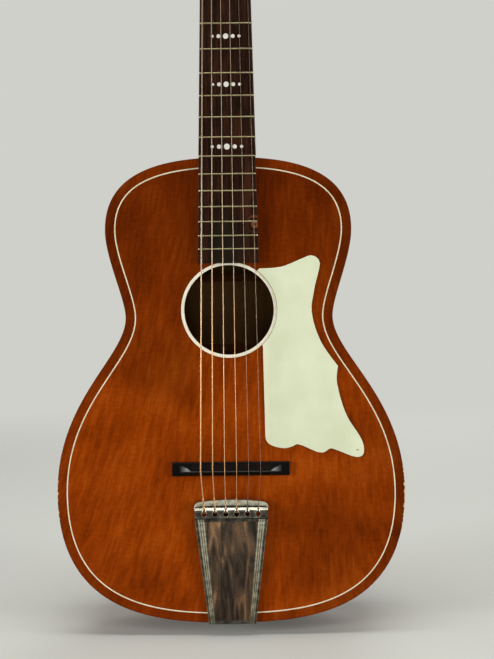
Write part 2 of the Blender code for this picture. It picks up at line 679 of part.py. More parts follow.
def crest_rings():
    """What is cut off the top of the headstock: all that lies above a shallow arch."""
    wide = HEAD_TOP_WIDTH / 2 + CUT_OVER
    arch = []
    for i in range(CREST_STEPS + 1):
        x = -wide + 2 * wide * i / CREST_STEPS
        arch.append((x, HEAD_LENGTH - HEAD_CREST * (x / (HEAD_TOP_WIDTH / 2)) ** 2))
    top = HEAD_LENGTH + CUT_OVER
    outline = arch + [(wide, top), (-wide, top)]
    return [[(x, a, b) for x, a in outline] for b in (-HEAD_THICKNESS - CUT_OVER, CUT_OVER)]


def make_neck():
    neck = loft("neck", neck_rings(), "neck_wood")
    tenon = plate_rings(tenon_outline(0, JOINT_Z + WELD_OVER), TENON_FRONT, TENON_DEPTH)
    weld(neck, loft("tenon_form", tenon, "neck_wood"))
    cut(neck, loft("crest_cutter", crest_rings(), "neck_wood", HEAD))
    holes = []
    for side, a in post_places():
        holes.append([[(side * POST_SIDE + x, a + y, b) for x, y in circle(POST_RADIUS + GAP, ROUND)]
                      for b in (-HEAD_THICKNESS - CUT_OVER, CUT_OVER)])
    cut(neck, solids("post_hole_cutter", holes, "neck_wood", HEAD))


def string_x(number, pitch):
    return (number - 2.5) * pitch


def channel(points, radius):
    """Rings square to Z round each point of a string, for cutting its notch."""
    return [[(p.x + x, p.y + y, p.z) for x, y in circle(radius, NOTCH_SIDES, pi / NOTCH_SIDES)]
            for p in points]


def notch_rings(number, index):
    """A cutter along a string, both ways from the point where it bends."""
    route = string_route(number)
    bend = route[index]
    before, after = (bend + (route[index + k] - bend).normalized() * NOTCH_REACH for k in (-1, 1))
    return channel((before, bend, after), STRING_DIAMETERS[number] / 2 + GAP)


def make_nut():
    low, front, back = -GAP, NUT_Z, NUT_Z + NUT_LENGTH
    half = BOARD_NUT_WIDTH / 2
    high = -(STRING_AT_NUT + NUT_ABOVE_STRINGS)
    slope = NUT_LENGTH * tan(HEAD_ANGLE + NUT_BACK_SLOPE)
    shape = ((low, front), (high, front), (high + slope, back), (low, back))
    nut = loft("nut", [[(x, y, z) for y, z in shape] for x in (-half, half)], "bone")
    groups = [notch_rings(number, AT_NUT) for number in range(len(STRING_NAMES))]
    cut(nut, solids("nut_slot_cutter", groups, "bone"))


def bridge_height(x):
    """Foot height at the ends, full height along the ridge, and a hollow curve between them."""
    inner = BRIDGE_RIDGE_LENGTH / 2
    share = min(max((abs(x) - inner) / BRIDGE_SCOOP, 0), 1)
    top = STRING_AT_SADDLE - GAP
    return BRIDGE_FOOT_HEIGHT + (top - BRIDGE_FOOT_HEIGHT) * (1 - sqrt(1 - (1 - share) ** 2))


def make_bridge():
    inner, end = BRIDGE_RIDGE_LENGTH / 2, BRIDGE_LENGTH / 2
    right = [inner + BRIDGE_SCOOP * (i / BRIDGE_STEPS) ** BRIDGE_STEP_POWER for i in range(BRIDGE_STEPS + 1)]
    right.append(end)
    stations = [-x for x in right[::-1]] + right
    rings = []
    for x in stations:
        ridge, foot = bridge_height(x), BRIDGE_FOOT_HEIGHT
        edge, fall = foot * BRIDGE_EDGE, max(ridge * BRIDGE_BACK_FALL, foot)
        shape = ((-GAP, BRIDGE_FRONT), (-edge, BRIDGE_FRONT), (-foot, BRIDGE_FRONT * BRIDGE_FRONT_SHOULDER),
                 (-ridge, BRIDGE_RIDGE_WIDTH), (-ridge, -BRIDGE_RIDGE_WIDTH),
                 (-fall, -BRIDGE_BACK * BRIDGE_BACK_SHOULDER), (-edge, -BRIDGE_BACK), (-GAP, -BRIDGE_BACK))
        rings.append([(x, y, SADDLE_Z + z) for y, z in shape])
    bridge = loft("bridge", rings, "black_wood")
    groups = [notch_rings(number, AT_SADDLE) for number in range(len(STRING_NAMES))]
    cut(bridge, solids("bridge_notch_cutter", groups, "black_wood"))


def sheet_rows():
    """The tailpiece's middle surface: rows from the leg's end up to the roll's lip."""
    rows = []
    middle = SHEET / 2
    face = -GAP - middle
    bend = TAIL_BEND + middle
    leg_half, rim_half = TAIL_LEG_WIDTH / 2, TAIL_RIM_WIDTH / 2
    centre_z = face + bend
    stations = [(TAIL_LEG - short, leg_half * share) for short, share in LEG_END]
    stations += [(LEG_FLARE_DEPTH, leg_half), (LEG_SHOULDER_DEPTH, rim_half * LEG_SHOULDER), (0, rim_half)]
    for depth, half in stations:
        rows.append(lambda t, d=depth, w=half: (t * w, d, face))
    for i in range(1, TAIL_BEND_STEPS):
        angle = pi / 2 * i / TAIL_BEND_STEPS
        rows.append(lambda t, g=angle: (t * rim_half, -bend * sin(g), centre_z - bend * cos(g)))
    for z, bead in ((centre_z, 0), (BEAD_START_Z, 0), (BEAD_FULL_Z, 1), (BEAD_MIDDLE_Z, 1),
                    (TAIL_BEND_Z - BEAD_END_FULL, 1), (TAIL_BEND_Z - BEAD_END, 0)):
        rows.append(lambda t, z=z, bead=bead: plate_point(t, z, bead, bend, centre_z))
    for i in range(ROLL_STEPS + 1):
        rows.append(lambda t, v=i / ROLL_STEPS: roll_point(t, v))
    return rows


def plate_point(t, z, bead, low, low_z):
    share = (z - low_z) / (TAIL_BEND_Z - low_z)
    half = (TAIL_RIM_WIDTH + (TAIL_TOP_WIDTH - TAIL_RIM_WIDTH) * share) / 2
    height = low + (TAIL_BASE_HEIGHT - low) * share
    return t * half, -height - bead * BEAD_HEIGHT * bead_rise(t), z


def bead_rise(t):
    """Two ridges with a valley between them near each edge of the plate."""
    half = TAIL_TOP_WIDTH / 2
    share = (half - abs(t) * half - BEAD_INSET) / BEAD_WIDTH
    return max(0.0, sin(2 * pi * share) ** 2) if 0 < share < 1 else 0.0


def roll_point(t, v):
    """The roll: it climbs from the plate to a crest and turns down to its lip."""
    half = TAIL_TOP_WIDTH / 2
    top = ROLL_LENGTH - ROLL_CROWN * t * t
    crest = TAIL_BASE_HEIGHT + ROLL_HEIGHT
    if v < 0.5:
        height = TAIL_BASE_HEIGHT + ROLL_HEIGHT * sin(pi * v)
    else:
        height = ROLL_LIP + (crest - ROLL_LIP) * cos(pi * (v - 0.5))
    narrow = max(0.0, v - ROLL_NARROW_FROM) / (1 - ROLL_NARROW_FROM)
    return t * half * (1 - ROLL_NARROWING * narrow ** 2), -height, TAIL_BEND_Z + top * v


def keyhole_rings(x):
    """A round hole that passes the ball end, with a slot above it that holds the string."""
    slot = STRING_DIAMETERS[0] / 2 + GAP
    side = sqrt(KEYHOLE_RADIUS ** 2 - slot ** 2)
    start = atan2(side, slot)
    outline = [(x + slot, SLOT_END_Z), (x - slot, SLOT_END_Z)]
    for i in range(KEYHOLE_STEPS + 1):
        angle = pi - start + (pi + 2 * start) * i / KEYHOLE_STEPS
        outline.append((x + KEYHOLE_RADIUS * cos(angle), KEYHOLE_Z + KEYHOLE_RADIUS * sin(angle)))
    return plate_rings(outline, -(TAIL_BASE_HEIGHT + ROLL_HEIGHT + CUT_OVER), -GAP)


def make_tailpiece():
    half = TAIL_TOP_WIDTH / 2
    edge = [1 - (BEAD_INSET + BEAD_WIDTH * k / BEAD_STEPS) / half for k in range(BEAD_STEPS + 1)]
    right = sorted([MIDDLE_COLUMN] + edge + [1.0])
    columns = [-t for t in right[::-1]] + [0.0] + right
    bm = bmesh.new()
    grid = [[bm.verts.new(row(t)) for t in columns] for row in sheet_rows()]
    for low, high in zip(grid, grid[1:]):
        for i in range(len(columns) - 1):
            bm.faces.new((low[i], low[i + 1], high[i + 1], high[i]))
    plate = add_object("tailpiece", bm, "nickel")
    thicken = plate.modifiers.new("sheet", "SOLIDIFY")
    thicken.thickness = SHEET
    thicken.offset = 0
    thicken.use_even_offset = True
    groups = [keyhole_rings(string_x(number, TAIL_PITCH)) for number in range(len(STRING_NAMES))]
    groups += tail_holes(-CUT_OVER, CUT_OVER)
    cut(plate, solids("tailpiece_cutter", groups, "nickel"))


def screw_places():
    return [(side * SCREW_SPREAD / 2, SCREW_DEPTH) for side in (-1, 1)]


def tail_holes(low, high):
    """Clearance holes for the end pin and the screws, along Z."""
    groups = []
    for x, y, radius in [(0, PIN_DEPTH, PIN_RADIUS)] + [(x, y, SCREW_RADIUS) for x, y in screw_places()]:
        groups.append([[(x + a, y + b, z) for a, b in circle(radius + GAP, ROUND)] for z in (low, high)])
    return groups


def make_tail_fixings():
    seat = -GAP - SHEET - GAP
    collar = PIN_HEAD_RADIUS * PIN_COLLAR_SHARE
    profile = [(PIN_HEAD_RADIUS * r, -PIN_HEAD_LENGTH * h) for r, h in PIN_HEAD_PROFILE]
    profile += [(PIN_RADIUS * PIN_NECK_SWELL, -PIN_HEAD_LENGTH * PIN_NECK_SHARE),
                (collar, -PIN_COLLAR_HEIGHT), (collar, 0), (PIN_RADIUS, 0), (PIN_TIP_RADIUS, PIN_STEM)]
    loft("end_pin", turned_rings(profile, PIN_SIDES), "black_wood", Matrix.Translation((0, PIN_DEPTH, seat)))
    profile = [(SCREW_HEAD_RADIUS * r, -SCREW_HEAD_HEIGHT * h) for r, h in SCREW_HEAD_PROFILE]
    profile += [(SCREW_HEAD_RADIUS, 0), (SCREW_RADIUS, 0), (SCREW_RADIUS, SCREW_LENGTH * SCREW_POINT_FROM),
                (SCREW_RADIUS * SCREW_POINT_SHARE, SCREW_LENGTH)]
    for i, (x, y) in enumerate(screw_places(), 1):
        loft(f"tailpiece_screw_{i}", turned_rings(profile), "nickel", Matrix.Translation((x, y, seat)))


def post_places():
    """Side and height of each post, in the order of the strings: the outer strings use the lowest."""
    heights = [POST_FIRST + POST_SPACING * i for i in range(3)]
    return [(-1, a) for a in heights] + [(1, a) for a in heights[::-1]]


def winding(number, start):
    """Tangent to the post from the nut, then turns that climb to the post's hole."""
    side, a = post_places()[number]
    radius = STRING_DIAMETERS[number] / 2
    ring = POST_WAIST + WINDING_CLEAR + radius
    from_nut = HEAD.inverted() @ start
    dx, da = side * POST_SIDE - from_nut.x, a - from_nut.y
    distance = hypot(dx, da)
    heading = atan2(da, dx) + side * asin(ring / distance)
    angle = heading + side * pi / 2
    pitch = 2 * radius + TURN_GAP
    points = []
    for i in range(STRING_TURNS[number] * TURN_POINTS + 1):
        turn = angle - side * 2 * pi * i / TURN_POINTS
        height = STRING_LOW + pitch * i / TURN_POINTS
        points.append(Vector((side * POST_SIDE + ring * cos(turn), a + ring * sin(turn), height)))
    away = (points[-1] - points[-2]).normalized()
    points.append(points[-1] + away * TAIL_CUT)
    return [HEAD @ p for p in points]


def lead_points(number):
    """Centre points of a string, from its ball end under the roll, over the saddle, to the nut."""
    x_tail, x_saddle, x_nut = (string_x(number, pitch) for pitch in (TAIL_PITCH, BRIDGE_PITCH, NUT_PITCH))
    crest = TAIL_BASE_HEIGHT + ROLL_HEIGHT + SHEET / 2
    ball = crest - BALL_DEPTH
    heights = [(ball, SLOT_END_Z - BALL_BACK), (ball + BALL_LENGTH, SLOT_END_Z - BALL_BACK + BALL_LEAN)]
    heights += [(crest - depth, SLOT_END_Z - back) for depth, back in STRING_RISE]
    heights.append((crest + STRING_DIAMETERS[number] / 2 + GAP, SLOT_END_Z - STRING_OUT))
    points = [Vector((x_tail, -y, z)) for y, z in heights]
    points.append(Vector((x_saddle, -STRING_AT_SADDLE, SADDLE_Z)))
    points.append(Vector((x_nut, -STRING_AT_NUT, NUT_Z)))
    return points


# Places of the saddle and the nut in that list
AT_SADDLE = 5
AT_NUT = 6


def string_route(number):
    lead = lead_points(number)
    return lead + winding(number, lead[AT_NUT])


def turn_clearance(number):
    """Least gap between the turns of one string, measured between points nearly a turn or more apart."""
    turns = winding(number, lead_points(number)[AT_NUT])
    reach = TURN_POINTS - 2
    pairs = [(p - q).length for i, p in enumerate(turns) for q in turns[i + reach:]]
    return min(pairs) - STRING_DIAMETERS[number]


def make_strings():
    for number, name in enumerate(STRING_NAMES):
        route = string_route(number)
        radius = STRING_DIAMETERS[number] / 2
        curve = bpy.data.curves.new(f"string_{name}", "CURVE")
        curve.dimensions = "3D"
        curve.bevel_depth = radius
        curve.bevel_resolution = 1
        curve.use_fill_caps = True
        spline = curve.splines.new("POLY")
        spline.points.add(len(route) - 1)
        for i, point in enumerate(route):
            spline.points[i].co = (*point, 1)
            spline.points[i].radius = BALL_RADIUS / radius if i < 2 else 1.0
        curve.materials.append(finish("bronze_wire" if number < 4 else "steel_wire"))
        obj = bpy.data.objects.new(f"string_{name}", curve)
        bpy.context.collection.objects.link(obj)
        print(f"string_{name}: least gap between turns {turn_clearance(number) * 1000:.2f} mm")


def make_bases():
    """One plate on each side of the headstock's back, with two bearing ears for each worm."""
    low, high = POST_FIRST - BASE_MARGIN_LOW, POST_FIRST + 2 * POST_SPACING + BASE_MARGIN_HIGH
    half, corner = BASE_WIDTH / 2, BASE_CORNER
    corner_turn = pi / 2 / CORNER_STEPS
    for name, side in (("bass", -1), ("treble", 1)):
        x0 = side * POST_SIDE
        outline = []
        for sx, sa in ((1, 1), (-1, 1), (-1, -1), (1, -1)):
            cx, ca = x0 + sx * (half - corner), (high - corner) if sa > 0 else (low + corner)
            start = atan2(sa, sx) - pi / 4
            turns = [start + k * corner_turn for k in range(CORNER_STEPS + 1)]
            outline += [(cx + corner * cos(t), ca + corner * sin(t)) for t in turns]
        back, front = BASE_FACE, BASE_FACE + BASE_THICKNESS
        faces = [[(x, a, b) for x, a in outline] for b in (front, back)]
        base = loft(f"tuner_plate_{name}", faces, "nickel", HEAD)
        ears, posts, shafts = [], [], []
        for i in range(3):
            a = POST_FIRST + POST_SPACING * i
            worm_a = a - WORM_DISTANCE
            top = WORM_LEVEL
            turns = [pi * k / EAR_STEPS for k in range(EAR_STEPS + 1)]
            bow = [(worm_a + EAR_WIDTH / 2 * cos(t), top - EAR_WIDTH / 2 * sin(t)) for t in turns]
            profile = [(worm_a - EAR_WIDTH / 2, back + BASE_THICKNESS / 2),
                       (worm_a + EAR_WIDTH / 2, back + BASE_THICKNESS / 2)] + bow
            for s in (-1, 1):
                near = x0 + s * WORM_REACH
                ears.append([[(x, pa, pb) for pa, pb in profile] for x in (near, near + s * EAR_THICKNESS)])
            posts.append([[(x0 + x, a + y, b) for x, y in circle(POST_RADIUS + GAP, ROUND)]
                          for b in (back - GAP, front + GAP)])
            reach = WORM_REACH + EAR_THICKNESS + GAP
            shafts.append([[(x0 + x, worm_a + y, top + z) for y, z in circle(WORM_ROOT + GAP, ROUND)]
                           for x in (-reach, reach)])
        weld(base, solids(f"ear_form_{name}", ears, "nickel", HEAD))
        cut(base, solids(f"base_hole_cutter_{name}", posts, "nickel", HEAD))
        cut(base, solids(f"ear_hole_cutter_{name}", shafts, "nickel", HEAD))


def worm_mesh(inner_end, outer_end):
    """A shaft along local X with a right-handed thread of full height, built as one skin."""
    bm = bmesh.new()
    total = WORM_TURNS * ROUND
    slope = tan(FLANK_ANGLE)
    foot = THREAD_WIDTH / 2 + DEDENDUM * slope
    crown = THREAD_WIDTH / 2 - ADDENDUM * slope
    shape = ((-foot, WORM_ROOT), (-crown, WORM_TIP), (crown, WORM_TIP), (foot, WORM_ROOT))

    def point(i, shift, radius):
        angle = 2 * pi * i / ROUND
        x = TOOTH_PITCH * (i / ROUND - WORM_TURNS / 2) + shift
        return bm.verts.new((x, radius * cos(angle), radius * sin(angle)))

    thread = [[point(i, shift, radius) for shift, radius in shape] for i in range(total + 1)]
    start, end = ([bm.verts.new((x, y, z)) for y, z in circle(WORM_ROOT, ROUND)]
                  for x in (inner_end, outer_end))
    for i in range(total):
        for k in range(3):
            bm.faces.new((thread[i][k], thread[i + 1][k], thread[i + 1][k + 1], thread[i][k + 1]))
    for i in range(total - ROUND):
        bm.faces.new((thread[i][3], thread[i + 1][3], thread[i + 1 + ROUND][0], thread[i + ROUND][0]))
    for j in range(ROUND - 1):
        bm.faces.new((start[j], start[j + 1], thread[j + 1][0], thread[j][0]))
    seam = (start[-1], start[0], thread[0][0], thread[0][3], thread[ROUND][0], thread[ROUND - 1][0])
    bm.faces.new(seam)
    last = total - ROUND
    for j in range(1, ROUND):
        bm.faces.new((thread[last + j][3], thread[last + j + 1][3], end[(j + 1) % ROUND], end[j]))
    seam = (thread[last][3], thread[last + 1][3], end[1], end[0], thread[total][3], thread[total][0])
    bm.faces.new(seam)
    for ring in (thread[0], thread[total], start, end):
        bm.faces.new(ring)
    return bm


def wheel_rings():
    """Straight-flanked teeth, slanted across the wheel's thickness to follow the worm's thread."""
    slope = tan(FLANK_ANGLE)
    lead = TOOTH_PITCH / (2 * pi * WORM_PITCH_RADIUS)
    tip, root = WHEEL_RADIUS + ADDENDUM, WHEEL_RADIUS - DEDENDUM
    tip_half = (TOOTH_WIDTH / 2 - ADDENDUM * slope) / tip
    root_half = (TOOTH_WIDTH / 2 + DEDENDUM * slope) / root
    rings = []
    for height in (-WHEEL_THICKNESS / 2, WHEEL_THICKNESS / 2):
        twist = height * lead / WHEEL_RADIUS
        ring = []
        for k in range(WHEEL_TEETH):
            middle = -pi / 2 + twist + 2 * pi * k / WHEEL_TEETH
            for shift, radius in ((-root_half, root), (-tip_half, tip), (tip_half, tip), (root_half, root)):
                ring.append((radius * cos(middle + shift), radius * sin(middle + shift), height))
        rings.append(ring)
    return rings


def button_rings(side):
    """An oval button along local X: a round collar that swells into a flattened oval."""
    height, thick, neck = BUTTON_HEIGHT / 2, BUTTON_THICKNESS / 2, BUTTON_NECK_RADIUS
    stations = [(0.0, neck, neck), (BUTTON_COLLAR, neck, neck)]
    stations += [(share, height * tall, thick * deep) for share, tall, deep in BUTTON_PROFILE]
    return [[(side * BUTTON_LENGTH * share, ha * x, hb * y) for x, y in circle(1, BUTTON_SIDES)]
            for share, ha, hb in stations]


def make_tuners():
    wheel_low = WORM_LEVEL - WHEEL_THICKNESS / 2
    wheel_high = WORM_LEVEL + WHEEL_THICKNESS / 2
    collar = HEAD_TOP_WIDTH / 2 + BUTTON_OFFSET
    for name, (side, a) in zip(STRING_NAMES, post_places()):
        axis = HEAD @ Matrix.Translation((side * POST_SIDE, a, 0))
        cap = wheel_low - GAP
        profile = ((CAP_RADIUS * CAP_EDGE_SHARE, cap - CAP_HEIGHT), (CAP_RADIUS, cap - CAP_HEIGHT / 2),
                   (CAP_RADIUS, cap), (SEAT_RADIUS, cap), (SEAT_RADIUS, wheel_high + GAP),
                   (SHOULDER_RADIUS, wheel_high + GAP), (SHOULDER_RADIUS, BASE_FACE - GAP),
                   (POST_RADIUS, BASE_FACE - GAP), (POST_RADIUS, WAIST_LOW - POST_CHAMFER),
                   (POST_WAIST, WAIST_LOW), (POST_WAIST, WAIST_HIGH - POST_CHAMFER), (POST_RADIUS, WAIST_HIGH),
                   (POST_RADIUS, POST_RISE - POST_CHAMFER), (POST_RADIUS * POST_TIP_SHARE, POST_RISE))
        post = loft(f"tuner_post_{name}", turned_rings(profile), "nickel", axis)
        eye = (WAIST_HIGH + POST_RISE) / 2
        hole = [[(x, y, eye + z) for x, z in circle(POST_HOLE, POST_HOLE_SIDES)]
                for y in (-CUT_OVER, CUT_OVER)]
        cut(post, loft(f"post_eye_cutter_{name}", hole, "nickel", axis))
        wheel_place = axis @ Matrix.Translation((0, 0, WORM_LEVEL))
        wheel = loft(f"tuner_wheel_{name}", wheel_rings(), "brass", wheel_place)
        bore = turned_rings(((SEAT_RADIUS + GAP, -CUT_OVER), (SEAT_RADIUS + GAP, CUT_OVER)))
        cut(wheel, loft(f"wheel_bore_cutter_{name}", bore, "brass", wheel_place))
        worm_place = axis @ Matrix.Translation((0, -WORM_DISTANCE, WORM_LEVEL))
        inner = -side * (WORM_REACH + EAR_THICKNESS + GAP)
        outer = side * (collar - POST_SIDE + SHAFT_SEAT)
        worm = worm_mesh(min(inner, outer), max(inner, outer))
        add_object(f"tuner_worm_{name}", worm, "nickel", worm_place)
        button_place = worm_place @ Matrix.Translation((side * (collar - POST_SIDE), 0, 0))
        button = loft(f"tuner_button_{name}", button_rings(side), "cream_plastic", button_place)
        seat = [[(side * x, y, z) for y, z in circle(WORM_ROOT + GAP, ROUND)]
                for x in (-CUT_OVER, SHAFT_SEAT + GAP)]
        cut(button, loft(f"button_bore_cutter_{name}", seat, "cream_plastic", button_place))


clear_scene()
make_soundboard()
make_ring()
make_pickguard()
make_sides()
make_blocks()
make_back()
make_braces()
make_fingerboard()
make_neck()
make_nut()
make_bridge()
make_tailpiece()
make_tail_fixings()
make_strings()
make_bases()
make_tuners()
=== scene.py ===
import json
import math

import bmesh
import bpy
import numpy as np
from mathutils import Matrix, Vector


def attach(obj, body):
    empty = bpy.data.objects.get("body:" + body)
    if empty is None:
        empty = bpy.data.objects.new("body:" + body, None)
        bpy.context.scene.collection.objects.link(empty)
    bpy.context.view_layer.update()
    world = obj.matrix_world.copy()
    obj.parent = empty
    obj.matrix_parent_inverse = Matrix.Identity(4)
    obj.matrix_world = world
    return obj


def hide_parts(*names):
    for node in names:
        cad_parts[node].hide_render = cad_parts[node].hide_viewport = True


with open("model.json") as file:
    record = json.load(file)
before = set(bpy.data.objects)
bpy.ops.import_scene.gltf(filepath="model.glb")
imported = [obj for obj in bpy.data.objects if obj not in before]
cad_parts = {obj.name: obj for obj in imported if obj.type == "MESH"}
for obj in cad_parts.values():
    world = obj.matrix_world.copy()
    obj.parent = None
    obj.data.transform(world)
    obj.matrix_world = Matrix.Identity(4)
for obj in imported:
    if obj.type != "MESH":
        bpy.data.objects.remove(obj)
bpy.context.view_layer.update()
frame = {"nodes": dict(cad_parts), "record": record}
nodes = frame["nodes"]
print("frame loaded:", len(nodes), "nodes")


# Small helpers for nodes and materials

def hexColor(text):
    # sRGB hex to linear: c / 12.92 near black, else ((c + 0.055) / 1.055) to the power 2.4
    channels = [int(text[i:i + 2], 16) / 255 for i in (1, 3, 5)]
    return (*[c / 12.92 if c <= 0.04045 else ((c + 0.055) / 1.055) ** 2.4 for c in channels], 1.0)


def addNode(tree, kind, inputs=None, stops=None, **settings):
    # one node: settings are its own properties, inputs take a value or another node's socket
    node = tree.nodes.new("ShaderNode" + kind)
    for key, value in settings.items():
        setattr(node, key, value)
    for key, value in (inputs or {}).items():
        if isinstance(value, bpy.types.NodeSocket):
            tree.links.new(value, node.inputs[key])
        else:
            node.inputs[key].default_value = value
    if stops:
        elements = node.color_ramp.elements
        while len(elements) < len(stops):
            elements.new(0.5)
        for element, (place, color) in zip(elements, stops):
            element.position = place
            element.color = color if isinstance(color, tuple) else hexColor(color)
    return node


def newMaterial(name):
    material = bpy.data.materials.new(name)
    material.use_nodes = True
    tree = material.node_tree
    tree.nodes.clear()
    return material, tree


def closeMaterial(tree, surface):
    addNode(tree, "OutputMaterial", {"Surface": surface.outputs[0]})


def gray(level):
    return (level, level, level, 1.0)


# Small helpers for shapes: a part is its points, its four-sided faces and a list of other faces

def gridFaces(rows, columns, wrapRows=False, wrapColumns=False):
    # quads between neighbouring points of a grid stored row after row; a wrapped direction closes on itself
    i = np.arange(rows if wrapRows else rows - 1)[:, None]
    j = np.arange(columns if wrapColumns else columns - 1)[None, :]
    up, over = (i + 1) % rows, (j + 1) % columns
    corners = (i * columns + j, i * columns + over, up * columns + over, up * columns + j)
    return np.stack(corners, axis=-1).reshape(-1, 4)


def gridPart(grid, wrapRows=False, capped=True):
    # each row of the grid is a closed section; the rows close into a ring or end in flat caps
    rows, columns = grid.shape[:2]
    faces = gridFaces(rows, columns, wrapRows, True)
    caps = [] if wrapRows or not capped else [np.arange(columns),
            np.arange((rows - 1) * columns, rows * columns)]
    return grid.reshape(-1, 3), faces, caps


def placed(part, place):
    points, faces, caps = part
    turn = np.array(place.to_3x3())
    return points @ turn.T + np.array(place.translation), faces, caps


def turned(profile, place, sides=32, closed=False):
    # a profile of (radius, height) pairs turned about the local Z axis; a radius of 0 ends in a pole
    shape = np.array(profile, float)
    angle = np.linspace(0, 2 * math.pi, sides, endpoint=False)
    across, up = shape[:, :1], shape[:, 1:]
    grid = np.stack((across * np.cos(angle), across * np.sin(angle), up + 0 * angle), axis=-1)
    return placed(gridPart(grid, wrapRows=closed, capped=False), place)


def prism(outline, low, high, place=None, round=0.0, steps=3):
    # an outline in the local XY plane drawn from low to high, its two rims rounded by a quarter circle
    loop = np.array(outline, float)
    if round:
        turn = np.linspace(0, math.pi / 2, steps + 1)
        levels = np.concatenate((low + round * (1 - np.sin(turn[::-1])), high - round * (1 - np.sin(turn))))
        insets = np.concatenate((round * (1 - np.cos(turn[::-1])), round * (1 - np.cos(turn))))
    else:
        levels, insets = np.array([low, high]), np.zeros(2)
    rows = [np.column_stack((moveInwards(loop, d), np.full(len(loop), h))) for h, d in zip(levels, insets)]
    return placed(gridPart(np.array(rows)), place or Matrix())


def moveInwards(loop, distance):
    # each point of an anticlockwise loop moved square to the line between its neighbours
    along = np.roll(loop, -1, axis=0) - np.roll(loop, 1, axis=0)
    along = along / np.linalg.norm(along, axis=1, keepdims=True)
    return loop + np.column_stack((-along[:, 1], along[:, 0])) * distance


def bezier(ends, steps):
    # a cubic curve: its four points weighted by (1-t)^3, 3t(1-t)^2, 3t^2(1-t) and t^3
    t = np.linspace(0, 1, steps + 1)[:, None]
    a, b, c, d = np.array(ends, float)
    return a * (1 - t) ** 3 + 3 * b * t * (1 - t) ** 2 + 3 * c * t * t * (1 - t) + d * t ** 3


def circleLoop(radius, sides, x=0.0, y=0.0):
    angle = np.linspace(0, 2 * math.pi, sides, endpoint=False)
    return np.column_stack((x + radius * np.cos(angle), y + radius * np.sin(angle)))


def atFace(x, y, z):
    # a place whose local Z axis points out of the soundboard, to the front
    return Matrix.Translation((x, y, z)) @ Matrix.Rotation(math.pi / 2, 4, "X")


def joinParts(parts):
    starts = np.cumsum([0] + [len(points) for points, faces, caps in parts])
    points = np.concatenate([part[0] for part in parts])
    faces = np.concatenate([part[1] + start for part, start in zip(parts, starts)])
    caps = [cap + start for part, start in zip(parts, starts) for cap in part[2]]
    return points, faces, caps


def buildMesh(name, parts, fields=None):
    # doubles are merged at poles and seams, and then all faces are turned outwards
    points, faces, caps = joinParts(parts)
    mesh = bpy.data.meshes.new(name)
    mesh.from_pydata(points.tolist(), [], faces.tolist() + [cap.tolist() for cap in caps])
    for key, values in (fields or {}).items():
        mesh.attributes.new(key, "FLOAT", "POINT").data.foreach_set("value",
                np.asarray(values, np.float32).ravel())
    shape = bmesh.new()
    shape.from_mesh(mesh)
    bmesh.ops.remove_doubles(shape, verts=shape.verts, dist=5e-7)
    bmesh.ops.recalc_face_normals(shape, faces=shape.faces)
    shape.to_mesh(mesh)
    shape.free()
    return mesh


def addPiece(name, parts, finish, body, stands=(), fields=None, cuts=None, smooth=35):
    # a finished piece: cut where asked, shaded, given its material and set to ride on its body
    mesh = buildMesh(name, parts, fields)
    mesh.materials.append(finish)
    piece = bpy.data.objects.new(name, mesh)
    bpy.context.scene.collection.objects.link(piece)
    if cuts:
        cutter = bpy.data.objects.new(name + "Cutter", buildMesh(name + "Cutter", cuts))
        bpy.context.scene.collection.objects.link(cutter)
        trim = piece.modifiers.new("cut", "BOOLEAN")
        trim.operation, trim.solver, trim.object = "DIFFERENCE", "EXACT", cutter
        bpy.context.view_layer.update()
        result = bpy.data.meshes.new_from_object(piece.evaluated_get(bpy.context.evaluated_depsgraph_get()))
        piece.modifiers.clear()
        piece.data = result
        bpy.data.objects.remove(cutter)
        mesh = result
    mesh.shade_smooth()
    mesh.set_sharp_from_angle(angle=math.radians(smooth))
    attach(piece, body)
    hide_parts(*stands)
    return piece


# Materials

woods = {
        "stainedSide": {"grainMm": 1.6, "stretch": 22, "figureMm": 16, "lean": 0.2, "cloudMm": 90,
        "gloss": 0.3, "colors": ("#431207", "#5E2009", "#74300C")},
        "stainedBack": {"grainMm": 1.6, "stretch": 22, "figureMm": 18, "lean": 0.25, "cloudMm": 110,
        "gloss": 0.3,
        "colors": ("#481409", "#63230B", "#7A340F"), "bareInside": ("#6C4C2A", "#8E6A40", 0.0876)},
        # inside the body: bare spruce coloured dark brown as painted shade
        "spruceInPaintedShade": {"grainMm": 1.2, "stretch": 40, "figureMm": 20, "lean": 0, "cloudMm": 60, "gloss": 0.7,
        "colors": ("#4E2A16", "#633A20", "#7A4C2C")},
        "stainedNeckWood": {"grainMm": 1.0, "stretch": 30, "figureMm": 14, "lean": 0.1, "cloudMm": 70,
        "gloss": 0.32, "colors": ("#260A07", "#3A110B", "#4C1A10")},
        }


